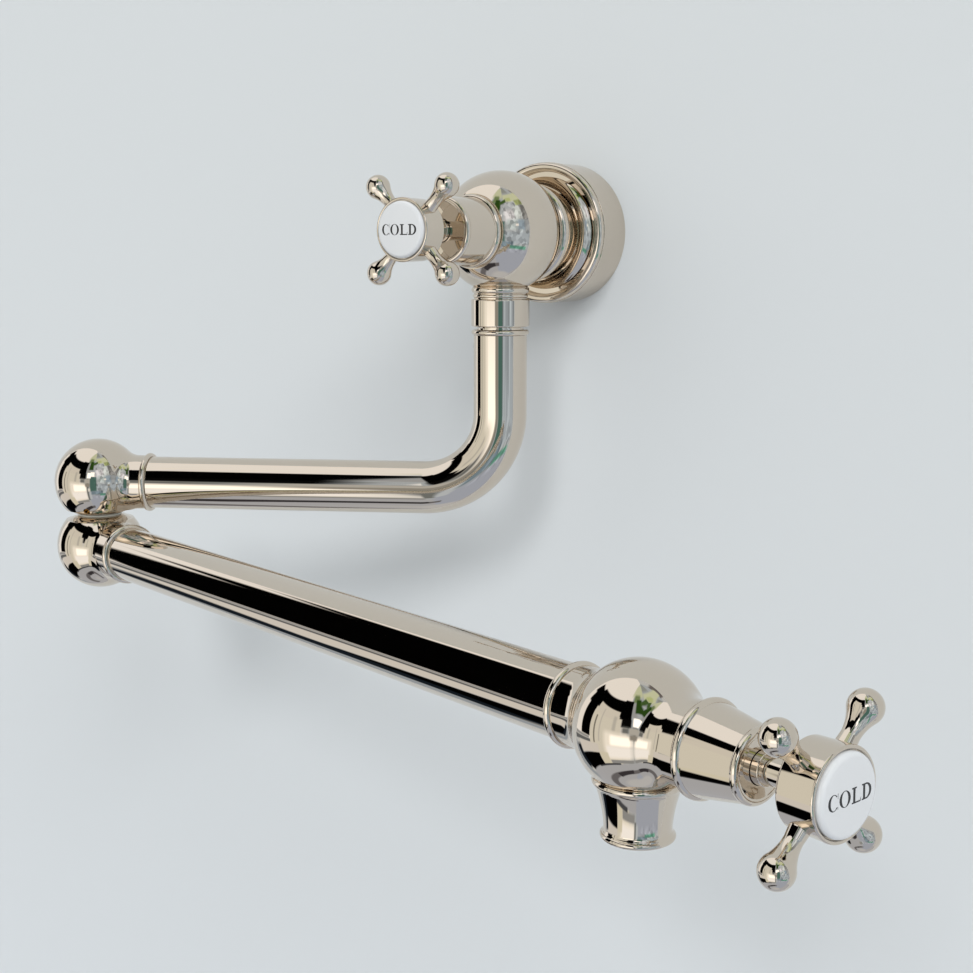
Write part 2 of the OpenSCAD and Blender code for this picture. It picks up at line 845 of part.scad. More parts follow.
// Porcelain disc with a round shoulder and a slightly domed face
module index_disc() {
    r = index_d / 2;
    edge = r - index_round;
    shoulder = index_at - 0.2;
    top = shoulder + index_round - 0.03;
    dome = [for (i = [0:curve_steps]) let (t = 1 - i / curve_steps)
        [edge * t, top + index_dome * (1 - t * t)]];
    color(ceramic)
        rotate_extrude() {
            polygon([[0, ring_floor], [r - 0.3, ring_floor], [r - 0.04, ring_floor + 0.3], [r - 0.04, shoulder],
                [0, shoulder]]);
            polygon(concat([[0, ring_floor + 0.5], [edge, ring_floor + 0.5]], dome));
            difference() {
                translate([edge, shoulder])
                    circle(r = index_round);
                band(0, far, shoulder - 2 * index_round, ring_floor + 0.4);
            }
        }
}

module swivel_collar() {
    color(nickel)
        translate([0, -wall_to_axis, 0])
            rotate_extrude()
                difference() {
                    soft_band(0, swivel_r, -collar_bottom, -collar_top - 0.02, 0.9);
                    band(0, boss_r + fit, -lip_top, 0);
                    band(0, swivel_neck_r + 0.15, -far, 0);
                }
}

module glide_washer() {
    color(plastic)
        translate([0, -wall_to_axis, 0])
            rotate_extrude()
                band(swivel_neck_r + 0.2, boss_r - 0.4, -lip_top + 0.02, -lip_top + glide_t);
}

// Heights of the two rubber rings on the swivel spigot
function swivel_rings() = [-collar_top + spigot_rise - 4.2, -collar_top + 1.2];

// Hollow spigot that turns in the boss: ring grooves, flange, and the end that the tube is soldered on
module swivel_tail() {
    shoulder = collar_bottom + 0.6;
    color(nickel)
        translate([0, -wall_to_axis, 0])
            rotate_extrude()
                difference() {
                    union() {
                        band(0, swivel_spigot_r, -shoulder, -collar_top + spigot_rise);
                        band(0, boss_r - 0.3, -flange_low, -flange_high);
                        band(0, swivel_neck_r, -shoulder - 1, -flange_low + 0.5);
                        band(0, spigot_r, -shoulder - base_bead_w - neck_spigot, -shoulder);
                    }
                    for (z = swivel_rings())
                        ring_groove(swivel_spigot_r, ring_depth, 1.3 * ring_d, z);
                    band(0, swivel_water_r, -far, 0);
                }
}

module swivel_seals() {
    color(rubber)
        translate([0, -wall_to_axis, 0])
            for (z = swivel_rings())
                o_ring(swivel_spigot_r - ring_depth + 0.01, ring_d, z);
}

module base_bead() {
    color(nickel)
        translate([0, -wall_to_axis, 0])
            rotate_extrude()
                bead(spigot_r + fit, tube_r + bead_proud, base_bead_w, -base_bead_at());
}

// Distance from the inlet axis down to the middle of the bead on the tube
function base_bead_at() = collar_bottom + 1.25 + base_bead_w / 2;

// Tube with one bend: down from the swivel, then out to the first knuckle
module upper_tube() {
    top = base_bead_at() + base_bead_w / 2 + 0.02;
    bend_z = arm_drop - bend_radius;
    run = upper_arm_length - upper_neck_end - ferrule_w - bend_radius - 0.04;
    color(nickel)
        at_upper() {
            translate([0, 0, -bend_z])
                linear_extrude(bend_z - top)
                    tube_section();
            translate([bend_radius, 0, -bend_z])
                rotate([90, 0, 0])
                    rotate([0, 0, 180])
                        rotate_extrude(angle = 90)
                            translate([bend_radius, 0])
                                tube_section();
            translate([bend_radius, 0, -arm_drop])
                along_x()
                    linear_extrude(run)
                        tube_section();
        }
}

module tube_section() {
    difference() {
        circle(r = tube_r);
        circle(r = tube_r - tube_wall);
    }
}

// Bead ring between a neck and its tube, seated on the neck's end
module ferrule(neck_end) {
    color(nickel)
        along_x()
            rotate_extrude()
                bead(spigot_r + fit, tube_r + ferrule_proud, ferrule_w, neck_end + ferrule_w / 2 + 0.02);
}

// Knuckle ball with its neck and tube spigot along X, its flat facing down, and its waterway
module knuckle(neck_end) {
    difference() {
        along_x()
            rotate_extrude()
                difference() {
                    union() {
                        half_ball(knuckle_r);
                        neck(knuckle_r, neck_r, neck_cove, neck_end);
                        band(0, spigot_r, 0, neck_end + ferrule_w + neck_spigot);
                    }
                    band(0, water_r, 0, far);
                }
        knuckle_cut();
    }
}

// Cutter below a knuckle: a flat with a bevel round it
module knuckle_cut() {
    flat_r = knuckle_flat_d / 2;
    reach_z = neck_r + 0.25;
    reach_r = flat_r + (flat_at - reach_z) / knuckle_bevel;
    rotate_extrude()
        polygon([
            [0, -far], [far, -far], [far, -reach_z], [reach_r, -reach_z], [flat_r, -flat_at], [0, -flat_at]
        ]);
}

// Heights over the joint plane of the pivot's two rubber rings
function pivot_rings() = [pivot_rise - 2.4, pivot_rise - 5];
// Height over the joint plane of the groove for the grub screw
groove_at = 3.4;

module upper_knuckle() {
    color(nickel)
        at_upper_knuckle()
            difference() {
                knuckle(upper_neck_end);
                translate([0, 0, -far])
                    cylinder(r = pivot_d / 2 + running, h = far + 2);
                at_pivot_screw()
                    cylinder(d = pivot_screw_d + 2 * fit, h = far);
            }
}

// The pivot's grub screw, Z pointing out of the knuckle on the side away from the room
module at_pivot_screw() {
    translate([0, 0, -knuckle_pitch / 2 + groove_at])
        rotate([90, 0, 180])
            children();
}

module pivot_screw() {
    pivot_r = pivot_d / 2;
    tip_r = 0.9;
    color(steel)
        at_upper_knuckle()
            at_pivot_screw()
                difference() {
                    rotate_extrude() {
                        band(0, tip_r, pivot_r - 1.05, pivot_r + 1);
                        band(0, pivot_screw_d / 2, pivot_r + 0.6, pivot_r + 4);
                    }
                    translate([0, 0, pivot_r + 2.5])
                        cylinder(d = pivot_screw_d / 2, h = 3, $fn = 6);
                }
}

module lower_knuckle() {
    color(nickel)
        at_lower()
            difference() {
                mirror([0, 0, 1])
                    knuckle(lower_neck_end);
                translate([0, 0, knuckle_pitch / 2 - pivot_depth])
                    cylinder(r = pivot_d / 2 + fit, h = far);
                cylinder(r = water_r, h = far);
            }
}

// Hollow pivot: screwed into the lower knuckle, turning in the upper one
module pivot_spigot() {
    pivot_r = pivot_d / 2;
    color(brass)
        at_lower()
            translate([0, 0, knuckle_pitch / 2])
                rotate_extrude()
                    difference() {
                        band(0, pivot_r, -pivot_depth + 0.02, pivot_rise);
                        for (z = pivot_rings())
                            ring_groove(pivot_r, ring_depth, 1.3 * ring_d, z);
                        ring_groove(pivot_r, 1.2, 2.2, groove_at);
                        band(0, pivot_r - pivot_wall, -far, far);
                    }
}

module pivot_seals() {
    color(rubber)
        at_lower()
            translate([0, 0, knuckle_pitch / 2])
                for (z = pivot_rings())
                    o_ring(pivot_d / 2 - ring_depth + 0.01, ring_d, z);
}

module pivot_glide_ring() {
    color(plastic)
        at_lower()
            translate([0, 0, knuckle_pitch / 2 - (pivot_ring_t + 0.1) / 2])
                rotate_extrude()
                    band(pivot_d / 2 + 0.15, knuckle_flat_d / 2 - 0.3, 0.02, pivot_ring_t);
}

module lower_tube() {
    start = lower_neck_end + ferrule_w + 0.04;
    color(nickel)
        at_lower()
            translate([start, 0, 0])
                along_x()
                    linear_extrude(lower_arm_length - outlet_neck_end - ferrule_w - 0.04 - start)
                        tube_section();
}

// Second valve ball: neck to the tube, neck and boss for the bonnet, waterways and nozzle seat
module outlet_body() {
    front_cove = 11;
    front_r = outlet_boss_r() + 2;
    bonnet_back = outlet_bead_at - bonnet_bead_w / 2 - 0.02;
    color(nickel)
        difference() {
            at_outlet()
                rotate_extrude()
                    difference() {
                        union() {
                            half_ball(outlet_r);
                            neck(outlet_r, front_r, front_cove, bonnet_back);
                            neck(outlet_r, neck_r, neck_cove, outlet_neck_end, -1);
                            band(0, spigot_r, -outlet_neck_end - ferrule_w - neck_spigot, 0);
                            band(0, outlet_boss_r(), 0, outlet_boss);
                        }
                        waterway(outlet_boss);
                    }
            at_outlet_ball() {
                translate([0, 0, -far - nozzle_top])
                    cylinder(r = outlet_r, h = far);
                translate([0, 0, -far])
                    cylinder(r = nozzle_thread_d / 2 + fit, h = far - chamber_r - 0.3);
                translate([0, 0, -far])
                    cylinder(r = water_r + 1, h = far - port_top);
            }
        }
}

// Radius of the outlet's boss under its bonnet
function outlet_boss_r() = outlet_boss_d / 2;

module nozzle() {
    root_r = nozzle_root_d / 2;
    waist_r = nozzle_waist_d / 2;
    lip_r = nozzle_lip_d / 2;
    bead_low = nozzle_top + nozzle_bead_w;
    lip_high = nozzle_bottom - nozzle_lip_h;
    // the wall narrows fast below the bead, then runs nearly straight down to the lip
    wall_high = bead_low - 0.4;
    wall = [for (i = [curve_steps:-1:0]) let (t = i / curve_steps)
        [waist_r + (root_r - waist_r) * pow(1 - t, 1.6), -wall_high - (lip_high - wall_high) * t]];
    color(nickel)
        at_outlet_ball()
            rotate_extrude()
                difference() {
                    union() {
                        bead(0, nozzle_bead_d / 2, nozzle_bead_w, -nozzle_top - nozzle_bead_w / 2 - 0.02);
                        band(0, nozzle_thread_d / 2, -bead_low, -chamber_r - 0.4);
                        polygon(concat(
                            [[0, -nozzle_bottom], [lip_r - 1.2, -nozzle_bottom],
                             [lip_r - 0.4, -nozzle_bottom + 0.4], [lip_r, -nozzle_bottom + 1.2],
                             [lip_r, -lip_high - 1.7], [waist_r + 0.4, -lip_high - 0.9]],
                            wall,
                            [[0, -wall_high]]
                        ));
                    }
                    band(0, nozzle_bore_r, -far, 0);
                    band(0, aerator_r + fit, -far, -aerator_high + aerator_washer_t + 0.02);
                    band(0, aerator_r + 0.35, -far, -aerator_low - 0.02);
                }
}

module aerator_washer() {
    color(rubber)
        at_outlet_ball()
            rotate_extrude()
                band(6.4, aerator_r, -aerator_high, -aerator_high + aerator_washer_t);
}

module aerator_housing() {
    color(plastic)
        at_outlet_ball()
            rotate_extrude()
                difference() {
                    soft_band(0, aerator_r, -aerator_low, -aerator_high - 0.02, 0.4);
                    band(0, aerator_r - 1.4, -aerator_low + 1.2, 0);
                    band(0, aerator_r - 2, -far, 0);
                }
}

// Sieve with rings of round holes
module aerator_screen() {
    hole_r = 0.7;
    color(steel)
        at_outlet_ball()
            translate([0, 0, -aerator_low + 1.22])
                difference() {
                    cylinder(r = aerator_r - 1.45, h = 0.6);
                    for (ring = [0:3])
                        for (i = [0:max(0, 6 * ring - 1)])
                            rotate([0, 0, ring == 0 ? 0 : 60 * i / ring])
                                translate([1.75 * ring, 0, -1])
                                    cylinder(r = hole_r, h = 3);
                }
}

module inlet_bonnet() {
    at_inlet()
        bonnet(inlet_bead_d, inlet_bead_at, inlet_lip_d, inlet_lip_at, inlet_boss,
            inlet_lip_d / 2 - bonnet_lip - 0.45);
}

module outlet_bonnet() {
    at_outlet()
        bonnet(outlet_bead_d, outlet_bead_at, outlet_lip_d, outlet_lip_at, outlet_boss, outlet_boss_r());
}

inlet_tail();
tail_washer();
wall_rose();
rose_gasket();
rose_collar();
collar_screw();
valve_body();
inlet_bonnet();
at_inlet_headwork() cartridge();  // inlet_cartridge
at_inlet_headwork() cartridge_ring();  // inlet_cartridge_ring
at_inlet_headwork() seat_seal();  // inlet_seat_seal
at_inlet_headwork() fixed_disc();  // inlet_fixed_disc
swivel_collar();
glide_washer();
swivel_tail();
swivel_seals();
base_bead();
upper_tube();
at_upper_knuckle() ferrule(upper_neck_end);  // upper_ferrule
upper_knuckle();
pivot_screw();
lower_knuckle();
pivot_spigot();
pivot_seals();
pivot_glide_ring();
at_lower() ferrule(lower_neck_end);  // lower_ferrule
lower_tube();
at_outlet_ball() mirror([1, 0, 0]) ferrule(outlet_neck_end);  // outlet_ferrule
outlet_body();
outlet_bonnet();
at_outlet_headwork() cartridge();  // outlet_cartridge
at_outlet_headwork() cartridge_ring();  // outlet_cartridge_ring
at_outlet_headwork() seat_seal();  // outlet_seat_seal
at_outlet_headwork() fixed_disc();  // outlet_fixed_disc
nozzle();
aerator_washer();
aerator_housing();
aerator_screen();
at_inlet_headwork() spindle();  // inlet_spindle
at_inlet_headwork() spindle_seals();  // inlet_spindle_seals
at_inlet_headwork() spindle_clip();  // inlet_spindle_clip
at_inlet_headwork() moving_disc();  // inlet_moving_disc
at_inlet_headwork() hub();  // inlet_hub
at_inlet_headwork() cross_arms();  // inlet_cross_arms
at_inlet_headwork() handle_screw();  // inlet_handle_screw
at_inlet_headwork() index_disc();  // inlet_index_disc
at_outlet_headwork() spindle();  // outlet_spindle
at_outlet_headwork() spindle_seals();  // outlet_spindle_seals
at_outlet_headwork() spindle_clip();  // outlet_spindle_clip
at_outlet_headwork() moving_disc();  // outlet_moving_disc
at_outlet_headwork() hub();  // outlet_hub
at_outlet_headwork() cross_arms();  // outlet_cross_arms
at_outlet_headwork() handle_screw();  // outlet_handle_screw
at_outlet_headwork() index_disc();  // outlet_index_disc
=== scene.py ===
"""Wall mounted pot filler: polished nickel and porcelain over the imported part, on a pale wall."""
import json
import math

import bmesh
import bpy
from mathutils import Matrix, Vector


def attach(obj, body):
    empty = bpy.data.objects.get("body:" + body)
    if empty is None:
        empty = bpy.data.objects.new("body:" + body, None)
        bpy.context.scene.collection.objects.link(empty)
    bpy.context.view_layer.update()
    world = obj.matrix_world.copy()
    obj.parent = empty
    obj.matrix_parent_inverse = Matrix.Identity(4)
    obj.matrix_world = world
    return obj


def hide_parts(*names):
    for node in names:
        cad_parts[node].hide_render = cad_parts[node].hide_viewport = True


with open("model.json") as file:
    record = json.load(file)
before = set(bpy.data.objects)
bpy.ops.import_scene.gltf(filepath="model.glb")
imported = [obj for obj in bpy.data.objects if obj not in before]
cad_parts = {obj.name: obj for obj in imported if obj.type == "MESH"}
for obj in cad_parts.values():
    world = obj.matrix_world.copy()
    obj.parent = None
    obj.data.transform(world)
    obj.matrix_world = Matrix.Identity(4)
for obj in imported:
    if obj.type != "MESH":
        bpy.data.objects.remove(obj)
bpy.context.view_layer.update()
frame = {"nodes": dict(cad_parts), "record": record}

MM = 0.001

# Lengths of the whole part in millimetres, as in its source
WALL_TO_AXIS = 57.5
ARM_DROP = 120.0
BEND_RADIUS = 36.0
UPPER_ARM = 198.0
LOWER_ARM = 373.0
UPPER_ANGLE = math.radians(27.8)
LOWER_ANGLE = math.radians(15.9)
KNUCKLE_PITCH = 31.6
OUTLET_TURN = math.radians(1.6)

# Radii that several pieces share
INLET_BALL = 28.0
SMALL_BALL = 20.9
TUBE_R = 12.5
TUBE_BORE_R = 11.0
SPIGOT_R = 10.95
WATER_R = 5.0

# Each valve's flange, ahead of the middle of its ball
INLET_FLANGE = 29.1
OUTLET_FLANGE = 31.0

# Necks between a small ball and its tube: radius, hollow curve, and ends from the ball's middle
NECK_R = 13.1
NECK_COVE = 11.0
UPPER_NECK_END = 24.7
LOWER_NECK_END = 30.1
OUTLET_NECK_END = 26.1

# Roundings of turned edges, from one that is only broken to a soft one
BROKEN = 0.05
KEEN = 0.1
CRISP = 0.15
EASED = 0.2
MILD = 0.3
SOFT = 0.35

# Faces round each kind of turned piece
BODY_STEPS = 192
BALL_STEPS = 160
HANDLE_STEPS = 144
RING_STEPS = 128
PIPE_STEPS = 112
SPINDLE_STEPS = 96
ARM_STEPS = 64
HOLE_STEPS = 48

# Cutting tools for the balls end well outside them
TOOL_REACH = 60
TOOL_R = 40

# Where each turned piece stands: its origin, and the direction of its own Z axis
UPPER_DIR = Vector((-math.cos(UPPER_ANGLE), -math.sin(UPPER_ANGLE), 0))
LOWER_DIR = Vector((math.cos(LOWER_ANGLE), -math.sin(LOWER_ANGLE), 0))
UP = Vector((0, 0, 1))
BASE_AT = Vector((0, -WALL_TO_AXIS, 0))
UPPER_AT = BASE_AT + UPPER_DIR * UPPER_ARM - UP * ARM_DROP
LOWER_AT = UPPER_AT - UP * KNUCKLE_PITCH
OUTLET_AT = LOWER_AT + LOWER_DIR * LOWER_ARM


def place(origin, axis):
    """Takes a piece drawn about its own Z axis in millimetres to its place in metres."""
    z = Vector(axis).normalized()
    side = UP.cross(z) if abs(z.z) < 0.9 else Vector((1, 0, 0))
    x = side.normalized()
    y = z.cross(x)
    turned = Matrix((x, y, z)).transposed().to_4x4()
    return Matrix.Scale(MM, 4) @ Matrix.Translation(origin) @ turned


WALL = place((0, 0, 0), (0, -1, 0))
INLET = place(BASE_AT, (0, -1, 0))
BASE = place(BASE_AT, UP)
UPPER_KNUCKLE = place(UPPER_AT, -UPPER_DIR)
UPPER_PIVOT = place(UPPER_AT, UP)
LOWER_KNUCKLE = place(LOWER_AT, LOWER_DIR)
LOWER_PIVOT = place(LOWER_AT, UP)
OUTLET = place(OUTLET_AT, LOWER_DIR)
NOZZLE = place(OUTLET_AT, UP)


# Colours and materials
COAT_ROUGHNESS = 0.03
BUMP_DEPTH = 0.02 * MM
CLOUD_LOW, CLOUD_HIGH = 0.3, 0.7
STAIN_LOW, STAIN_HIGH = 0.35, 0.65


def srgb(code):
    """Linear colour of an sRGB hex value."""
    parts = [int(code[i:i + 2], 16) / 255 for i in (0, 2, 4)]
    return [p / 12.92 if p <= 0.04045 else ((p + 0.055) / 1.055) ** 2.4 for p in parts] + [1.0]


def add(tree, kind, inputs=None, **settings):
    """Adds a node, with its settings, and its inputs as values or as sockets to link from."""
    node = tree.nodes.new(kind)
    for name, value in settings.items():
        setattr(node, name, value)
    for key, value in (inputs or {}).items():
        if isinstance(value, bpy.types.NodeSocket):
            tree.links.new(value, node.inputs[key])
        else:
            node.inputs[key].default_value = value
    return node


def finish_of(name, base, metallic=0.0, ior=None, rough=(0.3, 0.4), grain_mm=5.0, bump=0.0,
              bump_mm=1.0, stain=None, coat=0.0):
    """A finish: flat or clouded colour, roughness that wanders between two values, fine bump."""
    material = bpy.data.materials.new(name)
    material.use_nodes = True
    tree = material.node_tree
    shader = tree.nodes["Principled BSDF"]
    shader.inputs["Metallic"].default_value = metallic
    if ior:
        shader.inputs["IOR"].default_value = ior
    if coat:
        shader.inputs["Coat Weight"].default_value = coat
        shader.inputs["Coat Roughness"].default_value = COAT_ROUGHNESS
    where = add(tree, "ShaderNodeTexCoord").outputs["Object"]
    cloud = add(tree, "ShaderNodeTexNoise", {
        "Vector": where, "Scale": 1 / (grain_mm * MM), "Detail": 3.0})
    spread = add(tree, "ShaderNodeMapRange", {
        "Value": cloud.outputs["Fac"], "From Min": CLOUD_LOW, "From Max": CLOUD_HIGH,
        "To Min": rough[0], "To Max": rough[1]})
    tree.links.new(spread.outputs["Result"], shader.inputs["Roughness"])
    if stain:
        ramp = add(tree, "ShaderNodeValToRGB", {"Fac": cloud.outputs["Fac"]})
        ramp.color_ramp.elements[0].position = STAIN_LOW
        ramp.color_ramp.elements[1].position = STAIN_HIGH
        ramp.color_ramp.elements[0].color = srgb(base)
        ramp.color_ramp.elements[1].color = srgb(stain)
        tree.links.new(ramp.outputs["Color"], shader.inputs["Base Color"])
    else:
        shader.inputs["Base Color"].default_value = srgb(base)
    if bump:
        fine = add(tree, "ShaderNodeTexNoise", {
            "Vector": where, "Scale": 1 / (bump_mm * MM), "Detail": 2.0})
        relief = add(tree, "ShaderNodeBump", {
            "Height": fine.outputs["Fac"], "Strength": bump, "Distance": BUMP_DEPTH})
        tree.links.new(relief.outputs["Normal"], shader.inputs["Normal"])
    return material


# Buffed nickel plate: a warm mirror, its gloss only a little uneven where the mop passed
nickel = finish_of("buffed_nickel_plate", "D9CDBE", metallic=1.0, rough=(0.018, 0.04), grain_mm=18)
# Turned brass inside the joints and valves, dull from the cutting tool
turned_brass = finish_of("turned_brass", "D6A95C", metallic=1.0, rough=(0.22, 0.34), grain_mm=1.5,
                         bump=0.3, bump_mm=0.4)
# Moulded nitrile rubber rings, near black and matt
nitrile = finish_of("nitrile_rubber", "1C1C1D", rough=(0.55, 0.7), grain_mm=2, bump=0.4,
                    bump_mm=0.3)
# Pressed red vulcanised fibre washer, blotchy and dry
red_fibre = finish_of("vulcanised_fibre", "7E3A2C", rough=(0.6, 0.8), grain_mm=1, bump=0.5,
                      bump_mm=0.2, stain="8C4736")
# Natural acetal glide rings, off-white and slightly waxy
acetal = finish_of("natural_acetal", "E4E2DA", ior=1.48, rough=(0.3, 0.4), grain_mm=3)
# Moulded grey acetal of the aerator, with a fine spark-eroded texture
grey_acetal = finish_of("grey_acetal", "8F9294", ior=1.48, rough=(0.35, 0.5), grain_mm=2, bump=0.2)
# Lapped alumina valve discs, cream white and almost glossy
alumina = finish_of("lapped_alumina", "EFEBDF", ior=1.76, rough=(0.12, 0.2), grain_mm=3)
# Glazed porcelain index discs: white body under a thick clear glaze
porcelain = finish_of("glazed_porcelain", "D9DBDE", ior=1.5, rough=(0.05, 0.1), grain_mm=6,
                      coat=0.6)
# Black ceramic ink fired into the glaze, a little duller than the glaze
fired_ink = finish_of("fired_black_ink", "17171A", ior=1.5, rough=(0.12, 0.2), grain_mm=2)
# Stainless wire, screws and sieve, satin from drawing
stainless = finish_of("stainless_steel", "B9B6B0", metallic=1.0, rough=(0.2, 0.32), grain_mm=1,
                      bump=0.2)

SLOT_FINISH = {
    "nickel": nickel, "brass": turned_brass, "rubber": nitrile, "fibre": red_fibre,
    "acetal": acetal, "grey_plastic": grey_acetal, "ceramic": alumina, "porcelain": porcelain,
    "steel": stainless,
}


def dress(obj, material):
    """The object gets one finish all over."""
    obj.data.materials.clear()
    obj.data.materials.append(material)


for entry in frame["record"]["subparts"]:
    dress(frame["nodes"][entry["node"]], SLOT_FINISH[entry["material_slot"]])


# Turning pieces on their axis
# Edges that bend by fewer degrees than this are shaded smooth
SMOOTH_BELOW = 27
# Straight runs longer than this get holding loops, this far from their ends
LONG_RUN = 0.25
LOOP_GAP = 0.06
# A rounding takes at most this share of each side
SIDE_SHARE = 0.49
# Points closer than this are one, and those this near the axis are on it
WELD = 1e-5
ON_AXIS = 1e-6


def arc(r, z, radius, start, end, steps=12):
    """Points on a circle about (r, z), from one angle to another in degrees."""
    return [(r + radius * math.cos(math.radians(start + (end - start) * i / steps)),
             z + radius * math.sin(math.radians(start + (end - start) * i / steps)))
            for i in range(steps + 1)]


def outline(parts, fillet_steps=5):
    """Joins corners (r, z) or (r, z, fillet) and curves [(r, z), ...] to (point, curved) pairs."""
    nodes = []
    for part in parts:
        if isinstance(part, list):
            nodes += [(Vector(p), 0.0, i > 0) for i, p in enumerate(part)]
        else:
            nodes.append((Vector(part[:2]), part[2] if len(part) > 2 else 0.0, False))
    line = []
    for i, (here, fillet, curved) in enumerate(nodes):
        if not fillet:
            line.append((here, curved))
            continue
        back = nodes[i - 1][0] - here
        ahead = nodes[(i + 1) % len(nodes)][0] - here
        half = back.angle(ahead) / 2
        reach = min(fillet / math.tan(half), SIDE_SHARE * back.length, SIDE_SHARE * ahead.length)
        radius = reach * math.tan(half)
        inwards = (back.normalized() + ahead.normalized()).normalized()
        centre = here + inwards * (radius / math.sin(half))
        first = back.normalized() * reach + here - centre
        last = ahead.normalized() * reach + here - centre
        a = math.atan2(first.y, first.x)
        swing = (math.atan2(last.y, last.x) - a + math.pi) % (2 * math.pi) - math.pi
        for k in range(fillet_steps + 1):
            angle = a + swing * k / fillet_steps
            line.append((centre + radius * Vector((math.cos(angle), math.sin(angle))), k > 0))
    return line


def with_holding_loops(line, closed):
    """Adds a loop close to each end of every straight run, so that its shading stays straight."""
    result = []
    for i, (here, curved) in enumerate(line):
        if not curved and (i > 0 or closed):
            before = line[i - 1][0]
            run = here - before
            if run.length > LONG_RUN:
                step = run.normalized() * LOOP_GAP
                result += [before + step, here - step]
        result.append(here)
    return result


def shade(mesh):
    """Smooth faces, with every sharp edge kept crisp."""
    bm = bmesh.new()
    bm.from_mesh(mesh)
    for face in bm.faces:
        face.smooth = True
    for edge in bm.edges:
        if len(edge.link_faces) == 2:
            edge.smooth = edge.calc_face_angle(0) < math.radians(SMOOTH_BELOW)
    bm.to_mesh(mesh)
    bm.free()


def new_object(name, bm, matrix):
    """An object from a mesh drawn in millimetres, welded, facing outwards and shaded."""
    bmesh.ops.remove_doubles(bm, verts=bm.verts, dist=WELD)
    bmesh.ops.recalc_face_normals(bm, faces=bm.faces)
    mesh = bpy.data.meshes.new(name)
    bm.to_mesh(mesh)
    bm.free()
    mesh.transform(matrix)
    if matrix.determinant() < 0:
        mesh.flip_normals()
    shade(mesh)
    obj = bpy.data.objects.new(name, mesh)
    bpy.context.scene.collection.objects.link(obj)
    return obj


def turn(name, parts, matrix, closed=True, steps=RING_STEPS):
    """Spins an outline about Z: a closed one is a ring, an open one starts and ends on the axis."""
    points = with_holding_loops(outline(parts), closed)
    bm = bmesh.new()
    rings = []
    for p in points:
        if p.x < ON_AXIS:
            rings.append([bm.verts.new((0, 0, p.y))])
        else:
            rings.append([bm.verts.new((p.x * math.cos(a), p.x * math.sin(a), p.y))
                          for a in (2 * math.pi * k / steps for k in range(steps))])
    count = len(rings)
    for i in range(count if closed else count - 1):
        low, high = rings[i], rings[(i + 1) % count]
        for k in range(steps):
            n = (k + 1) % steps
            quad = [low[k % len(low)], low[n % len(low)], high[n % len(high)], high[k % len(high)]]
            corners = list(dict.fromkeys(quad))
            if len(corners) > 2:
                bm.faces.new(corners)
    return new_object(name, bm, matrix)


def carve(obj, tool, operation="DIFFERENCE"):
    """Cuts or joins obj with a tool object, which is used up."""
    modifier = obj.modifiers.new("carve", "BOOLEAN")
    modifier.operation = operation
    modifier.solver = "EXACT"
    modifier.object = tool
    bpy.context.view_layer.update()
    evaluated = obj.evaluated_get(bpy.context.evaluated_depsgraph_get())
    mesh = bpy.data.meshes.new_from_object(evaluated)
    obj.modifiers.clear()
    obj.data = mesh
    mesh.name = obj.name
    bpy.data.objects.remove(tool)
    shade(mesh)
    return obj


def drill(radius, start, end, matrix):
    """Tool for a round hole between two depths."""
    return turn("drill", [(0, start), (radius, start), (radius, end), (0, end)], matrix,
                closed=False, steps=HOLE_STEPS)


def settle(obj, body, node, material=nickel):
    """The piece takes the place of a CAD node, rides on its body and gets its finish."""
    dress(obj, material)
    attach(obj, body)
    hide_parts(node)
    return obj


# A bead ring: how far its rim goes round, and its flat ring's depth and width, in half widths
RIM_ANGLE = 78
ROOT_DEPTH = 1.6
FLAT_WIDTH = 0.9


def bead(inner, outer, width, middle):
    """Outline of a bead ring: a round rim on a flat ring."""
    half = width / 2
    root = outer - ROOT_DEPTH * half
    rim = arc(outer - half, middle, half, -RIM_ANGLE, RIM_ANGLE, 14)
    low, high = middle - FLAT_WIDTH * half, middle + FLAT_WIDTH * half
    return [(inner, low), (root, low, KEEN), rim, (root, high, KEEN), (inner, high)]


def cove_neck(ball, neck, cove, end):
    """Ball to neck: the ball's side from its widest ring, the hollow curve, and the neck's end."""
    out = neck + cove
    along = math.sqrt((ball + cove) ** 2 - out ** 2)
    meet = math.degrees(math.atan2(along, out))
    side = arc(0, 0, ball, 0, meet, 14)
    hollow = arc(out, along, cove, 180 + meet, 180, 10)
    return side + hollow[1:], (neck, end)


# Each valve's bore, with its depths from the flange
SEAL_SEAT_R = 10.35
SEAL_SEAT = 1.3
HEADWORK_R = 9.05
HEADWORK_THREAD = 18
CHAMBER_R = 10.5
CHAMBER_DEPTH = 36


def headwork_bore(flange):
    """Outline down a valve's bore: seal seat, headwork's thread, chamber, and water passage."""
    seat, thread_end, chamber_end = (
        flange - depth for depth in (SEAL_SEAT, HEADWORK_THREAD, CHAMBER_DEPTH))
    return [(SEAL_SEAT_R, flange), (SEAL_SEAT_R, seat), (HEADWORK_R, seat),
            (HEADWORK_R, thread_end), (CHAMBER_R, thread_end), (CHAMBER_R, chamber_end),
            (WATER_R, chamber_end)]


# Wall rose: a cup with a round front lip, measured from the wall outwards
ROSE_R = 33.5
ROSE_HOLLOW_R = 31.3
ROSE_MOUTH_R = 19.2
ROSE_FLOOR = 17.3
ROSE_SIDE = 19.5
ROSE_LIP_R = 31.2
ROSE_LIP_AT = 20.6
ROSE_LIP = 2.2
ROSE_HOLLOW_EDGE = 0.6

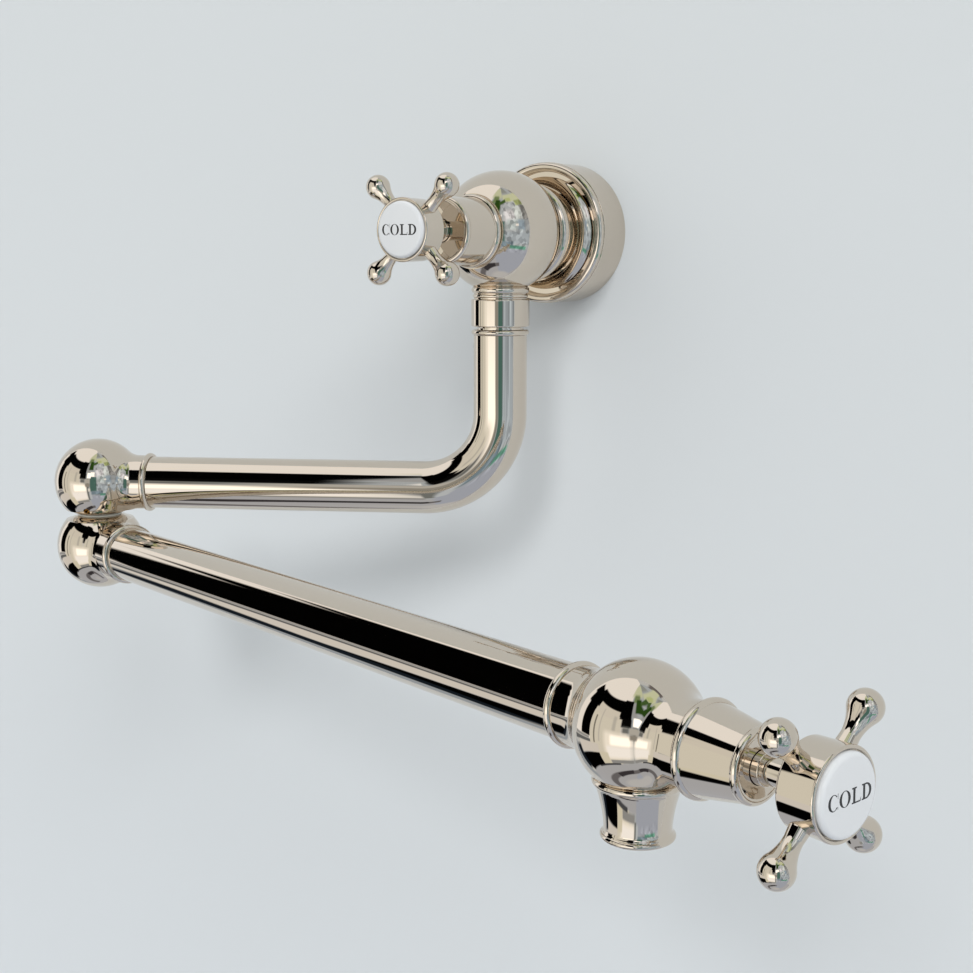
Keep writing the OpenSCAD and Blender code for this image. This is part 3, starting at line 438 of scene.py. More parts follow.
settle(turn("turned_rose", [
    (ROSE_R, 0, CRISP), (ROSE_R, ROSE_SIDE, SOFT),
    arc(ROSE_LIP_R, ROSE_LIP_AT, ROSE_LIP, -30, 210, 28),
    (ROSE_MOUTH_R, ROSE_SIDE, EASED), (ROSE_MOUTH_R, ROSE_FLOOR),
    (ROSE_HOLLOW_R, ROSE_FLOOR, ROSE_HOLLOW_EDGE), (ROSE_HOLLOW_R, 0, CRISP)],
    WALL, steps=BODY_STEPS), "wall_valve", "wall_rose")

# Rose collar: a hollow flare towards the rose, and a rounded nose towards the ball
COLLAR_BORE_R = 19.05
COLLAR_BACK = 19.52
COLLAR_BACK_R = 26.3
FLARE_R = 31.14
FLARE_AT = 26.64
FLARE_HOLLOW = 7.74
COLLAR_FRONT = 38.2
COLLAR_FRONT_R = 23.4
NOSE_DEPTH = 2.51
NOSE_LENGTH = 3
NOSE_STEPS = 14
COLLAR_MOUTH_R = 20.69
COLLAR_MOUTH_END = 36.33
COLLAR_SCREW_AT = 26.8
COLLAR_SCREW_R = 2.05

nose = [(COLLAR_FRONT_R - NOSE_DEPTH * (1 - math.cos(a)),
         COLLAR_FRONT - NOSE_LENGTH * (1 - math.sin(a)))
        for a in (math.pi / 2 * i / NOSE_STEPS for i in range(NOSE_STEPS + 1))]
collar = turn("turned_rose_collar", [
    (COLLAR_BORE_R, COLLAR_BACK), (COLLAR_BACK_R, COLLAR_BACK, CRISP),
    arc(FLARE_R, FLARE_AT, FLARE_HOLLOW, 235, 180, 20), nose,
    (COLLAR_MOUTH_R, COLLAR_FRONT), (COLLAR_BORE_R, COLLAR_MOUTH_END)], WALL, steps=BODY_STEPS)
carve(collar, drill(COLLAR_SCREW_R, start=12, end=40,
                    matrix=place((0, -COLLAR_SCREW_AT, 0), (0, 0, -1))))
settle(collar, "wall_valve", "rose_collar")

# First ball: neck, flat for the bonnet, beaded boss for the swivel, and the waterways
BODY_BACK = -45.7
BODY_NECK_R = 19.0
TAIL_BORE_R = 10.53
TAIL_BORE_END = -33.2
BALL_FLAT = 22.38
INLET_BOSS_R = 13.15
BOSS_R = 12.4
BOSS_TOP = -14
BOSS_BEADS_R = 11.9
BIG_BEAD, BIG_BEAD_AT = 1.6, -26.5
SMALL_BEAD, SMALL_BEAD_AT = 1.0, -29.2
BOSS_SHOULDER_R = 12.35
BOSS_SHOULDER = -30.6
SWIVEL_THREAD_R = 11.6
BOSS_END = -38.0
SWIVEL_BORE_R = 8.55
SWIVEL_BORE_START = -40
SWIVEL_BORE_END = -18.4
PORT_R = 6.0
PORT_TOP = -8.8

ball_back = math.degrees(
    math.asin(-math.sqrt(INLET_BALL ** 2 - BODY_NECK_R ** 2) / INLET_BALL))
ball_front = math.degrees(math.asin(BALL_FLAT / INLET_BALL))
first_ball = turn("turned_first_ball", [
    (TAIL_BORE_R, BODY_BACK), (BODY_NECK_R, BODY_BACK, MILD),
    arc(0, 0, INLET_BALL, ball_back, ball_front, 44),
    (INLET_BOSS_R, BALL_FLAT), (INLET_BOSS_R, INLET_FLANGE, EASED), *headwork_bore(INLET_FLANGE),
    (WATER_R, TAIL_BORE_END), (TAIL_BORE_R, TAIL_BORE_END)], INLET, steps=BODY_STEPS)
boss = turn("boss", [
    (0, BOSS_TOP), (BOSS_R, BOSS_TOP), arc(BOSS_BEADS_R, BIG_BEAD_AT, BIG_BEAD, 71, -71, 16),
    arc(BOSS_BEADS_R, SMALL_BEAD_AT, SMALL_BEAD, 59, -62, 12),
    (BOSS_SHOULDER_R, BOSS_SHOULDER, BROKEN), (SWIVEL_THREAD_R, BOSS_SHOULDER),
    (SWIVEL_THREAD_R, BOSS_END, EASED), (0, BOSS_END)], BASE, closed=False, steps=BALL_STEPS)
carve(first_ball, boss, "UNION")
carve(first_ball, turn("port", [
    (0, SWIVEL_BORE_START), (SWIVEL_BORE_R, SWIVEL_BORE_START),
    (SWIVEL_BORE_R, SWIVEL_BORE_END), (PORT_R, SWIVEL_BORE_END), (PORT_R, PORT_TOP),
    (0, PORT_TOP)], BASE, closed=False))
settle(first_ball, "wall_valve", "valve_body")


# Bonnets: beaded taper covers with a round lip round a flat mirror face
BONNET_BEAD = 1.6
BONNET_STEP = 1.2
BONNET_SHOULDER = 2.1
BONNET_LIP = 1.5
BONNET_TAPER_OFF = 2.2
BONNET_FACE = 0.25
BONNET_FACE_T = 1.9
BONNET_HOLLOW_EDGE = 0.4
SPINDLE_HOLE_R = 5.35


def bonnet(name, matrix, bead_r, bead_at, taper_r, lip_r, lip_at, inner, mouth, gland_at):
    """Taper cover from its bead to its lip, with the hole that the spindle passes through."""
    face = lip_at - BONNET_FACE
    under = face - BONNET_FACE_T
    return turn(name, [
        (inner, bead_at - BONNET_BEAD),
        arc(bead_r - BONNET_BEAD, bead_at, BONNET_BEAD, -90, 72, 16),
        (bead_r - BONNET_STEP, bead_at + BONNET_SHOULDER, MILD),
        (taper_r, lip_at - BONNET_TAPER_OFF, CRISP),
        arc(lip_r - BONNET_LIP, lip_at - BONNET_LIP, BONNET_LIP, -24, 123.6, 20),
        (SPINDLE_HOLE_R, face, BROKEN), (SPINDLE_HOLE_R, under),
        (mouth, under, BONNET_HOLLOW_EDGE), (inner, gland_at)], matrix, steps=BALL_STEPS)


settle(bonnet("turned_inlet_bonnet", INLET, bead_r=16.4, bead_at=24.0, taper_r=14.86, lip_r=15.1,
              lip_at=46.7, inner=13.2, mouth=12.1, gland_at=38.1), "wall_valve", "inlet_bonnet")
settle(bonnet("turned_outlet_bonnet", OUTLET, bead_r=15.3, bead_at=28.0, taper_r=11.37, lip_r=11.5,
              lip_at=48.0, inner=11.35, mouth=8.5, gland_at=40.0), "lower_arm", "outlet_bonnet")

# Base swivel: a plain collar that holds the arm's spigot, and the bead on top of the tube
SWIVEL_R = 13.6
SWIVEL_INNER_R = 11.7
SWIVEL_LIP_R = 9.9
SWIVEL_TOP = -30.62
SWIVEL_LIP_TOP = -40.5
SWIVEL_END = -43.4
SWIVEL_EDGE = 0.7
BASE_BEAD_R = 13.5
BASE_BEAD_WIDTH = 2.7
BASE_BEAD_AT = -46.0

settle(turn("turned_swivel_collar", [
    (SWIVEL_INNER_R, SWIVEL_LIP_TOP), (SWIVEL_INNER_R, SWIVEL_TOP),
    (SWIVEL_R, SWIVEL_TOP, SWIVEL_EDGE), (SWIVEL_R, SWIVEL_END, SWIVEL_EDGE),
    (SWIVEL_LIP_R, SWIVEL_END, EASED), (SWIVEL_LIP_R, SWIVEL_LIP_TOP)], BASE),
    "wall_valve", "swivel_collar")
settle(turn("turned_base_bead",
            bead(TUBE_BORE_R, BASE_BEAD_R, BASE_BEAD_WIDTH, BASE_BEAD_AT), BASE),
       "upper_arm", "base_bead")

# Upper tube, and the bead ring before its knuckle
TUBE_TOP = 47.37
BEND_STEPS = 60
END_LOOP = 0.1
FERRULE_R = 14.2
FERRULE_WIDTH = 2.9
FERRULE_OFF = 1.47
TUBE_OFF = 2.94


def bent_pipe(name, radii, top, end):
    """Both walls of a pipe that runs down, bends once, and runs out along the upper arm."""
    bend_z = -(ARM_DROP - BEND_RADIUS)
    stations = [(Vector((0, 0, z)), Vector((0, 0, -1)))
                for z in (-top, -top - END_LOOP, bend_z + END_LOOP)]
    for i in range(BEND_STEPS + 1):
        a = math.pi / 2 * i / BEND_STEPS
        middle = (BEND_RADIUS * (1 - math.cos(a)), 0, bend_z - BEND_RADIUS * math.sin(a))
        stations.append((Vector(middle), Vector((math.sin(a), 0, -math.cos(a)))))
    stations += [(Vector((x, 0, -ARM_DROP)), Vector((1, 0, 0)))
                 for x in (BEND_RADIUS + END_LOOP, end - END_LOOP, end)]
    side = Vector((0, 1, 0))
    bm = bmesh.new()
    walls = []
    for radius in radii:
        rings = []
        for centre, ahead in stations:
            across = ahead.cross(side)
            rings.append([
                bm.verts.new(centre + radius * (math.cos(t) * across + math.sin(t) * side))
                for t in (2 * math.pi * k / PIPE_STEPS for k in range(PIPE_STEPS))])
        walls.append(rings)
    outer, inner = walls
    joined = [pair for rings in walls for pair in zip(rings, rings[1:])]
    for low, high in joined + [(outer[0], inner[0]), (outer[-1], inner[-1])]:
        for k in range(PIPE_STEPS):
            n = (k + 1) % PIPE_STEPS
            bm.faces.new((low[k], low[n], high[n], high[k]))
    along = Matrix((UPPER_DIR, UP.cross(UPPER_DIR), UP)).transposed().to_4x4()
    return new_object(name, bm, Matrix.Scale(MM, 4) @ Matrix.Translation(BASE_AT) @ along)


settle(bent_pipe("drawn_upper_tube", (TUBE_R, TUBE_BORE_R), TUBE_TOP,
                 UPPER_ARM - UPPER_NECK_END - TUBE_OFF), "upper_arm", "upper_tube")
settle(turn("turned_upper_ferrule",
            bead(TUBE_BORE_R, FERRULE_R, FERRULE_WIDTH, UPPER_NECK_END + FERRULE_OFF),
            UPPER_KNUCKLE), "upper_arm", "upper_ferrule")

# Knuckles: each ball is flattened towards the other one, and eased round the flat
NECK_SPIGOT = 14.9
KNUCKLE_FLAT = 15.42
KNUCKLE_FLAT_R = 9.6
EASE_REACH = 5.6
EASE_LEVEL = 13.3
EASE_POWER = 1.6
EASE_STEPS = 14
UPPER_PIVOT_R = 8.48
UPPER_PIVOT_TOP = 2.0
LOWER_PIVOT_R = 8.47
LOWER_PIVOT_END = -4.8
PIVOT_SCREW_AT = 12.4
PIVOT_SCREW_R = 1.55


def knuckle(name, matrix, pivot, end, sign, bore):
    """Ball with its hollow neck and spigot, flat and eased on the side of the other knuckle."""
    side, stop = cove_neck(SMALL_BALL, NECK_R, NECK_COVE, end)
    back = arc(0, 0, SMALL_BALL, -90, 0, 32)
    obj = turn(name, [
        back + side[1:], stop, (SPIGOT_R, end), (SPIGOT_R, end + NECK_SPIGOT, MILD),
        (WATER_R, end + NECK_SPIGOT), (WATER_R, 0), (0, 0)], matrix, closed=False, steps=BALL_STEPS)
    ease = [(KNUCKLE_FLAT_R + EASE_REACH * t,
             -KNUCKLE_FLAT + (KNUCKLE_FLAT - EASE_LEVEL) * t ** EASE_POWER)
            for t in (1 - i / EASE_STEPS for i in range(EASE_STEPS + 1))]
    tool = turn("tool", [
        (0, -TOOL_REACH), (TOOL_REACH, -TOOL_REACH), (TOOL_REACH, -EASE_LEVEL), ease] + bore,
        pivot @ Matrix.Scale(-sign, 4, UP), closed=False, steps=BALL_STEPS)
    return carve(obj, tool)


upper_ball = knuckle("turned_upper_knuckle", UPPER_KNUCKLE, UPPER_PIVOT, UPPER_NECK_END, -1, [
    (UPPER_PIVOT_R, -KNUCKLE_FLAT, EASED), (UPPER_PIVOT_R, UPPER_PIVOT_TOP), (0, UPPER_PIVOT_TOP)])
carve(upper_ball, drill(PIVOT_SCREW_R, start=6, end=40,
                        matrix=place(UPPER_AT - UP * PIVOT_SCREW_AT, UP.cross(UPPER_DIR))))
settle(upper_ball, "upper_arm", "upper_knuckle")
settle(knuckle("turned_lower_knuckle", LOWER_KNUCKLE, LOWER_PIVOT, LOWER_NECK_END, 1, [
    (LOWER_PIVOT_R, -KNUCKLE_FLAT, EASED), (LOWER_PIVOT_R, LOWER_PIVOT_END),
    (WATER_R, LOWER_PIVOT_END), (WATER_R, 0), (0, 0)]), "lower_arm", "lower_knuckle")

# Lower arm: a straight tube between two bead rings
LOWER_TUBE_START = LOWER_NECK_END + TUBE_OFF
LOWER_TUBE_END = LOWER_ARM - OUTLET_NECK_END - TUBE_OFF

settle(turn("turned_lower_ferrule",
            bead(TUBE_BORE_R, FERRULE_R, FERRULE_WIDTH, LOWER_NECK_END + FERRULE_OFF),
            LOWER_KNUCKLE), "lower_arm", "lower_ferrule")
settle(turn("drawn_lower_tube", [
    (TUBE_BORE_R, LOWER_TUBE_START), (TUBE_R, LOWER_TUBE_START, KEEN),
    (TUBE_R, LOWER_TUBE_END, KEEN), (TUBE_BORE_R, LOWER_TUBE_END)], LOWER_KNUCKLE),
    "lower_arm", "lower_tube")
settle(turn("turned_outlet_ferrule",
            bead(TUBE_BORE_R, FERRULE_R, FERRULE_WIDTH, -OUTLET_NECK_END - FERRULE_OFF),
            OUTLET), "lower_arm", "outlet_ferrule")

# Second ball: a neck to the rear, another to the bonnet, and a flat below for the nozzle
FRONT_NECK_R = 13.3
FRONT_NECK_END = 26.38
OUTLET_BOSS_R = 11.3
REAR_SPIGOT_END = -41.0
NOZZLE_TOP = -15.5
NOZZLE_SEAT_R = 9.46
NOZZLE_SEAT_TOP = -10.8

rear, _ = cove_neck(SMALL_BALL, NECK_R, NECK_COVE, OUTLET_NECK_END)
front, front_stop = cove_neck(SMALL_BALL, FRONT_NECK_R, NECK_COVE, FRONT_NECK_END)
rear_line = [(r, -z) for r, z in reversed(rear)]
second_ball = turn("turned_second_ball", [
    (WATER_R, REAR_SPIGOT_END), (SPIGOT_R, REAR_SPIGOT_END, MILD), (SPIGOT_R, -OUTLET_NECK_END),
    (NECK_R, -OUTLET_NECK_END), rear_line + front[1:], front_stop,
    (OUTLET_BOSS_R, FRONT_NECK_END), (OUTLET_BOSS_R, OUTLET_FLANGE, EASED),
    *headwork_bore(OUTLET_FLANGE)], OUTLET, steps=BODY_STEPS)
carve(second_ball, turn("tool", [
    (0, -TOOL_REACH), (TOOL_R, -TOOL_REACH), (TOOL_R, NOZZLE_TOP),
    (NOZZLE_SEAT_R, NOZZLE_TOP), (NOZZLE_SEAT_R, NOZZLE_SEAT_TOP), (PORT_R, NOZZLE_SEAT_TOP),
    (PORT_R, PORT_TOP), (0, PORT_TOP)], NOZZLE, closed=False))
settle(second_ball, "lower_arm", "outlet_body")

# Nozzle: a bead under the ball, a hollow waist, and a flared lip
NOZZLE_THREAD_R = 9.4
NOZZLE_THREAD_TOP = -10.9
NOZZLE_INLET_R = 7.0
NOZZLE_SHOULDER = -15.53
NOZZLE_BEAD_R = 13.05
NOZZLE_BEAD_AT = -16.92
NOZZLE_BEAD = 1.39
WAIST_R = 10.6
WAIST_SPREAD = 2.8
WAIST_TOP = -17.9
WAIST_LENGTH = 13.9
WAIST_POWER = 1.6
WAIST_STEPS = 16
WAIST_FROM = 0.03
FOOT_R = 12.3
FOOT_AT = -31.8
FOOT_COVE = 1.7
LIP_R = 10.65
LIP_AT = -34.2
LIP_ROUND = 1.05
NOZZLE_END = -35.5
NOZZLE_END_R = 10.5
AERATOR_R = 8.9
AERATOR_TOP = -23.98
MOUTH_R = 9.2
MOUTH_TOP = -33.2
MOUTH_EDGE = 0.25

waist = [(WAIST_R + WAIST_SPREAD * (1 - t) ** WAIST_POWER, WAIST_TOP - WAIST_LENGTH * t)
         for t in (WAIST_FROM + (1 - WAIST_FROM) * i / WAIST_STEPS
                   for i in range(WAIST_STEPS + 1))]
foot = arc(FOOT_R, FOOT_AT, FOOT_COVE, 180, 222, 6)
settle(turn("turned_nozzle", [
    (NOZZLE_INLET_R, NOZZLE_THREAD_TOP), (NOZZLE_THREAD_R, NOZZLE_THREAD_TOP),
    (NOZZLE_THREAD_R, NOZZLE_SHOULDER),
    arc(NOZZLE_BEAD_R, NOZZLE_BEAD_AT, NOZZLE_BEAD, 88, -80, 18), waist + foot[1:],
    arc(LIP_R, LIP_AT, LIP_ROUND, 62, -72, 14), (NOZZLE_END_R, NOZZLE_END, MILD),
    (MOUTH_R, NOZZLE_END, MOUTH_EDGE), (MOUTH_R, MOUTH_TOP), (AERATOR_R, MOUTH_TOP),
    (AERATOR_R, AERATOR_TOP), (NOZZLE_INLET_R, AERATOR_TOP)], NOZZLE), "lower_arm", "nozzle")


# Cross handles: every height is over the headwork's flange
INDEX_FACE = 46.7
INDEX_DOME = 0.2
INDEX_FLAT_R = 10.4
INDEX_BACK = 43.4
INDEX_BACK_R = 11.9
INDEX_SIDE_R = 12.06
INDEX_SIDE = 43.7
INDEX_ROUND = 1.7
INDEX_RINGS = 8
SPINDLE_R = 5.1
SPINDLE_START = -18
SPINDLE_STEP = 19.5
SPINDLE_NECK_R = 4.2
SPINDLE_END = 33.0
HUB_SOCKET = 33.1
HUB_SOCKET_R = 4.28
HUB_BACK = 32.2
HUB_BACK_R = 13.3
HUB_BACK_EDGE = 0.9
HUB_R = 13.6
HUB_SIDE_END = 44.4
HUB_RIM_R = 12.96
HUB_RIM_AT = 44.54
HUB_RIM = 0.66
HUB_RECESS_R = 12.25
HUB_FLOOR = 43.38
ARM_LEVEL = 37.6
ARM_ROOT = 12.0
ARM_ROOT_R = 3.1
ARM_ROOT_END = 13.4
ARM_REACH = 25.9
ARM_BALL = 5.3
ARM_COVE = 14.0
ARM_NECK = 2.8

# The word's letters, whose numbers are all shares of their height
CAP_MM = 4.5
STEM, HAIR, SERIF = 0.21, 0.09, 0.12
C_WIDTH, O_LEFT, O_WIDTH, L_LEFT, D_LEFT = 0.93, 1.0, 1.03, 2.27, 3.22
BOWL = 0.82
BOWL_START = 0.28
OVERSHOOT = 1.04
INK_PROUD = 0.02
INK_SUNK = 0.06


def dome_at(r):
    """Height of the index disc's face over the headwork's flange."""
    return INDEX_FACE + INDEX_DOME * (1 - (r / INDEX_FLAT_R) ** 2)


def oval(width, height, centre, start, end, steps=40):
    """Points on an upright oval, from one angle to another in degrees."""
    return [(centre + width / 2 * math.cos(math.radians(start + (end - start) * i / steps)),
             0.5 + height / 2 * math.sin(math.radians(start + (end - start) * i / steps)))
            for i in range(steps + 1)]


def word_strokes():
    """The word on a cold tap in upright serif capitals: each stroke as a left and a right line."""
    strokes = []

    def box(x0, x1, y0, y1):
        strokes.append(([(x0, y0), (x0, y1)], [(x1, y0), (x1, y1)]))

    def upright(x):
        box(x, x + STEM, 0, 1)
        for low in (0, 1 - HAIR):
            box(x - SERIF, x, low, low + HAIR)
            box(x + STEM, x + STEM + SERIF, low, low + HAIR)

    # C, its thick side on the left, and its two beaks
    strokes.append((oval(C_WIDTH, OVERSHOOT, C_WIDTH / 2, 44, 322),
                    oval(C_WIDTH - 1.7 * STEM, 0.95, C_WIDTH / 2 + 0.18 * STEM, 42, 320)))
    for low, tip in ((0.69, 1.02), (0.02, 0.2)):
        strokes.append(([(0.85, low), (0.85, tip)], [(0.885, low), (0.885, tip)]))
    # O, thick on both sides
    o_middle = O_LEFT + O_WIDTH / 2
    strokes.append((oval(O_WIDTH, OVERSHOOT, o_middle, 0, 360),
                    oval(O_WIDTH - 2.1 * STEM, 0.96, o_middle, 0, 360)))
    # L, with its foot's raised end
    upright(L_LEFT)
    box(L_LEFT + STEM + SERIF, L_LEFT + 0.72, 0, HAIR)
    strokes.append(([(L_LEFT + 0.66, HAIR), (L_LEFT + 0.75, 0.27)],
                    [(L_LEFT + 0.72, HAIR), (L_LEFT + 0.78, 0.27)]))
    # D, its bowl thick on the right
    upright(D_LEFT)
    start = D_LEFT + STEM + SERIF
    round_at = D_LEFT + BOWL_START
    round_wide = 2 * (BOWL - BOWL_START)
    inner_wide = 2 * (BOWL - BOWL_START - 1.05 * STEM)
    strokes.append((
        [(start, 1)] + oval(round_wide, 1, round_at, 90, -90, 30) + [(start, 0)],
        [(start, 1 - HAIR)] + oval(inner_wide, 1 - 2 * HAIR, round_at, 90, -90, 30)
        + [(start, HAIR)]))
    middle = (D_LEFT + BOWL) / 2
    return [[[((x - middle) * CAP_MM, (y - 0.5) * CAP_MM) for x, y in line] for line in stroke]
            for stroke in strokes]


def fired_word(name, matrix, flange):
    """The word as thin ink on the domed face, sunk a little into the glaze."""
    bm = bmesh.new()
    for left, right in word_strokes():
        (top_l, top_r), (low_l, low_r) = [
            [[bm.verts.new((x, y, flange + dome_at(math.hypot(x, y)) + lift)) for x, y in line]
             for line in (left, right)] for lift in (INK_PROUD, -INK_SUNK)]
        for i in range(len(left) - 1):
            bm.faces.new((top_l[i], top_l[i + 1], top_r[i + 1], top_r[i]))
            bm.faces.new((low_l[i], low_r[i], low_r[i + 1], low_l[i + 1]))
            bm.faces.new((top_l[i], low_l[i], low_l[i + 1], top_l[i + 1]))
            bm.faces.new((top_r[i], top_r[i + 1], low_r[i + 1], low_r[i]))
        for i in (0, -1):
            if math.dist(left[0], left[-1]) > 0.01:
                bm.faces.new((top_l[i], top_r[i], low_r[i], low_l[i]))
    return new_object(name, bm, matrix)


def cross_arms(name, matrix):
    """Four turned arms with ball ends, as one mesh; the matrix puts their level at zero."""
    reach = math.sqrt((ARM_COVE + ARM_BALL) ** 2 - (ARM_COVE + ARM_NECK) ** 2)
    rise = math.degrees(math.atan2(reach, ARM_COVE + ARM_NECK))
    pieces = []
    for quarter in range(4):
        lay = (Matrix.Rotation(math.radians(45 + 90 * quarter), 4, "Z")
               @ Matrix.Rotation(math.pi / 2, 4, "Y"))
        pieces.append(turn(f"{name}_{quarter}", [
            (0, ARM_ROOT), (ARM_ROOT_R, ARM_ROOT), (ARM_ROOT_R, ARM_ROOT_END),
            arc(ARM_COVE + ARM_NECK, ARM_REACH - reach, ARM_COVE, 180, 180 - rise, 14),
            arc(0, ARM_REACH, ARM_BALL, -rise, 90, 28)],
            matrix @ lay, closed=False, steps=ARM_STEPS))
    arms = pieces[0]
    bm = bmesh.new()
    for piece in pieces:
        bm.from_mesh(piece.data)
    bm.to_mesh(arms.data)
    bm.free()
    shade(arms.data)
    for piece in pieces[1:]:
        bpy.data.objects.remove(piece)
    arms.name = name
    return arms


def handle(tag, body, flange, matrix):
    """Hub, arms, spindle and index disc of one valve, drawn from the headwork's flange."""
    def at(z):
        return z + flange

    settle(turn(f"turned_{tag}_spindle", [
        (0, at(SPINDLE_START)), (SPINDLE_R, at(SPINDLE_START)), (SPINDLE_R, at(SPINDLE_STEP), SOFT),
        (SPINDLE_NECK_R, at(SPINDLE_STEP), KEEN), (SPINDLE_NECK_R, at(SPINDLE_END)),
        (0, at(SPINDLE_END))], matrix, closed=False, steps=SPINDLE_STEPS), body, f"{tag}_spindle")
    settle(turn(f"turned_{tag}_hub", [
        (0, at(HUB_SOCKET)), (HUB_SOCKET_R, at(HUB_SOCKET)), (HUB_SOCKET_R, at(HUB_BACK), CRISP),
        (HUB_BACK_R, at(HUB_BACK), HUB_BACK_EDGE), (HUB_R, at(HUB_SIDE_END)),
        arc(HUB_RIM_R, at(HUB_RIM_AT), HUB_RIM, 0, 180, 16), (HUB_RECESS_R, at(HUB_RIM_AT)),
        (HUB_RECESS_R, at(HUB_FLOOR)), (0, at(HUB_FLOOR))],
        matrix, closed=False, steps=HANDLE_STEPS), body, f"{tag}_hub")
    dome = [(INDEX_FLAT_R * t, at(dome_at(INDEX_FLAT_R * t)))
            for t in (1 - i / INDEX_RINGS for i in range(1, INDEX_RINGS + 1))]
    settle(turn(f"glazed_{tag}_index", [
        (0, at(INDEX_BACK)), (INDEX_BACK_R, at(INDEX_BACK), KEEN), (INDEX_SIDE_R, at(INDEX_SIDE)),
        arc(INDEX_FLAT_R, at(INDEX_FACE - INDEX_ROUND), INDEX_ROUND, -8, 90, 18) + dome],
        matrix, closed=False, steps=HANDLE_STEPS),
        body, f"{tag}_index_disc", porcelain)
    word = fired_word(f"fired_{tag}_word", matrix, flange)
    dress(word, fired_ink)
    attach(word, body)
    settle(cross_arms(f"turned_{tag}_arms", matrix @ Matrix.Translation((0, 0, at(ARM_LEVEL)))),
           body, f"{tag}_cross_arms")


handle("inlet", "inlet_handle", INLET_FLANGE, INLET)
handle("outlet", "outlet_handle", OUTLET_FLANGE, OUTLET @ Matrix.Rotation(OUTLET_TURN, 4, "Z"))

# Camera at the photograph's place, in metres and degrees
CAMERA_AT = (0.39419, -0.6366, -0.01119)
CAMERA_TILT = -8.75
CAMERA_HEADING = 34.77
LENS_MM = 55.29
SENSOR_MM = 36.0

camera = bpy.data.objects.new("camera", bpy.data.cameras.new("camera"))
camera.data.lens = LENS_MM
camera.data.sensor_width = SENSOR_MM
camera.data.clip_start = 0.01
camera.data.clip_end = 50.0
camera.location = CAMERA_AT
camera.rotation_euler = (math.radians(90 + CAMERA_TILT), 0, math.radians(CAMERA_HEADING))
bpy.context.scene.collection.objects.link(camera)
bpy.context.scene.camera = camera

# Wall and floor, in metres
WALL_SIDE = 3.0
FLOOR_LEVEL = -0.62
WALL_TOP = 2.0
FLOOR_OUT = 0.85
PAINT_ROUGHNESS = 0.9
STIPPLE_MM = 2.5
STIPPLE_DEPTH_MM = 0.2
STIPPLE_STRENGTH = 0.05


def panel(name, corners, material, mirrored=True):
    """A flat stage panel, which shows in the polished metal or stays out of it."""
    mesh = bpy.data.meshes.new(name)
    mesh.from_pydata(corners, [], [tuple(range(len(corners)))])
    obj = bpy.data.objects.new(name, mesh)
    bpy.context.scene.collection.objects.link(obj)
    obj.data.materials.append(material)
    obj.visible_glossy = mirrored


def pale_paint(name, code, see_through_back):
    """Matt emulsion with a roller's fine stipple; from behind, the wall lets the camera through."""
    material = bpy.data.materials.new(name)
    material.use_nodes = True
    tree = material.node_tree
    shader = tree.nodes["Principled BSDF"]
    shader.inputs["Base Color"].default_value = srgb(code)
    shader.inputs["Roughness"].default_value = PAINT_ROUGHNESS
    where = add(tree, "ShaderNodeTexCoord").outputs["Object"]
    roller = add(tree, "ShaderNodeTexNoise", {
        "Vector": where, "Scale": 1 / (STIPPLE_MM * MM), "Detail": 2.0})
    relief = add(tree, "ShaderNodeBump", {
        "Height": roller.outputs["Fac"], "Strength": STIPPLE_STRENGTH,
        "Distance": STIPPLE_DEPTH_MM * MM})
    tree.links.new(relief.outputs["Normal"], shader.inputs["Normal"])
    if see_through_back:
        behind = add(tree, "ShaderNodeNewGeometry").outputs["Backfacing"]
        clear = add(tree, "ShaderNodeBsdfTransparent")
        mix = add(tree, "ShaderNodeMixShader", {
            0: behind, 1: shader.outputs[0], 2: clear.outputs[0]})
        tree.links.new(mix.outputs[0], tree.nodes["Material Output"].inputs["Surface"])
    return material


panel("wall", [(-WALL_SIDE, 0, FLOOR_LEVEL), (WALL_SIDE, 0, FLOOR_LEVEL),
               (WALL_SIDE, 0, WALL_TOP), (-WALL_SIDE, 0, WALL_TOP)],
      pale_paint("wall_emulsion", "D6DADD", True))
panel("floor", [(-WALL_SIDE, 0, FLOOR_LEVEL), (-WALL_SIDE, -FLOOR_OUT, FLOOR_LEVEL),
                (WALL_SIDE, -FLOOR_OUT, FLOOR_LEVEL), (WALL_SIDE, 0, FLOOR_LEVEL)],
      pale_paint("floor_paint", "C9CBD2", False), mirrored=False)


# Light
def soft_sun(name, azimuth, elevation, spread, share):
    """Wide soft light from far away: its direction in degrees, and its share of the light."""
    az, el = math.radians(azimuth), math.radians(elevation)
    away = Vector((math.sin(az) * math.cos(el), -math.cos(az) * math.cos(el), math.sin(el)))
    lamp = bpy.data.lights.new(name, "SUN")
    lamp.angle = math.radians(spread)
    lamp.energy = share * math.pi / -away.y
    obj = bpy.data.objects.new(name, lamp)
    obj.rotation_euler = (-away).to_track_quat("-Z", "Y").to_euler()
    obj.visible_glossy = False
    bpy.context.scene.collection.objects.link(obj)


soft_sun("key", azimuth=18, elevation=31, spread=14, share=0.20)
soft_sun("soft_right", azimuth=52, elevation=33, spread=24, share=0.17)
soft_sun("wide_left", azimuth=-55, elevation=29, spread=60, share=0.06)

# Plain light and backdrop, and the glass that sparkles in the metal: its edges in degrees
AMBIENT, AMBIENT_STRENGTH = "FDFFFB", 0.58
BACKDROP = "D5D8DD"
GLASS_AZIMUTH = (38, 98, 6)
GLASS_ELEVATION = (-36, 56, 8)
FACETS_PER_DEGREE = 0.16
FACET_DARK, FACET_BRIGHT = 0.62, 1.4

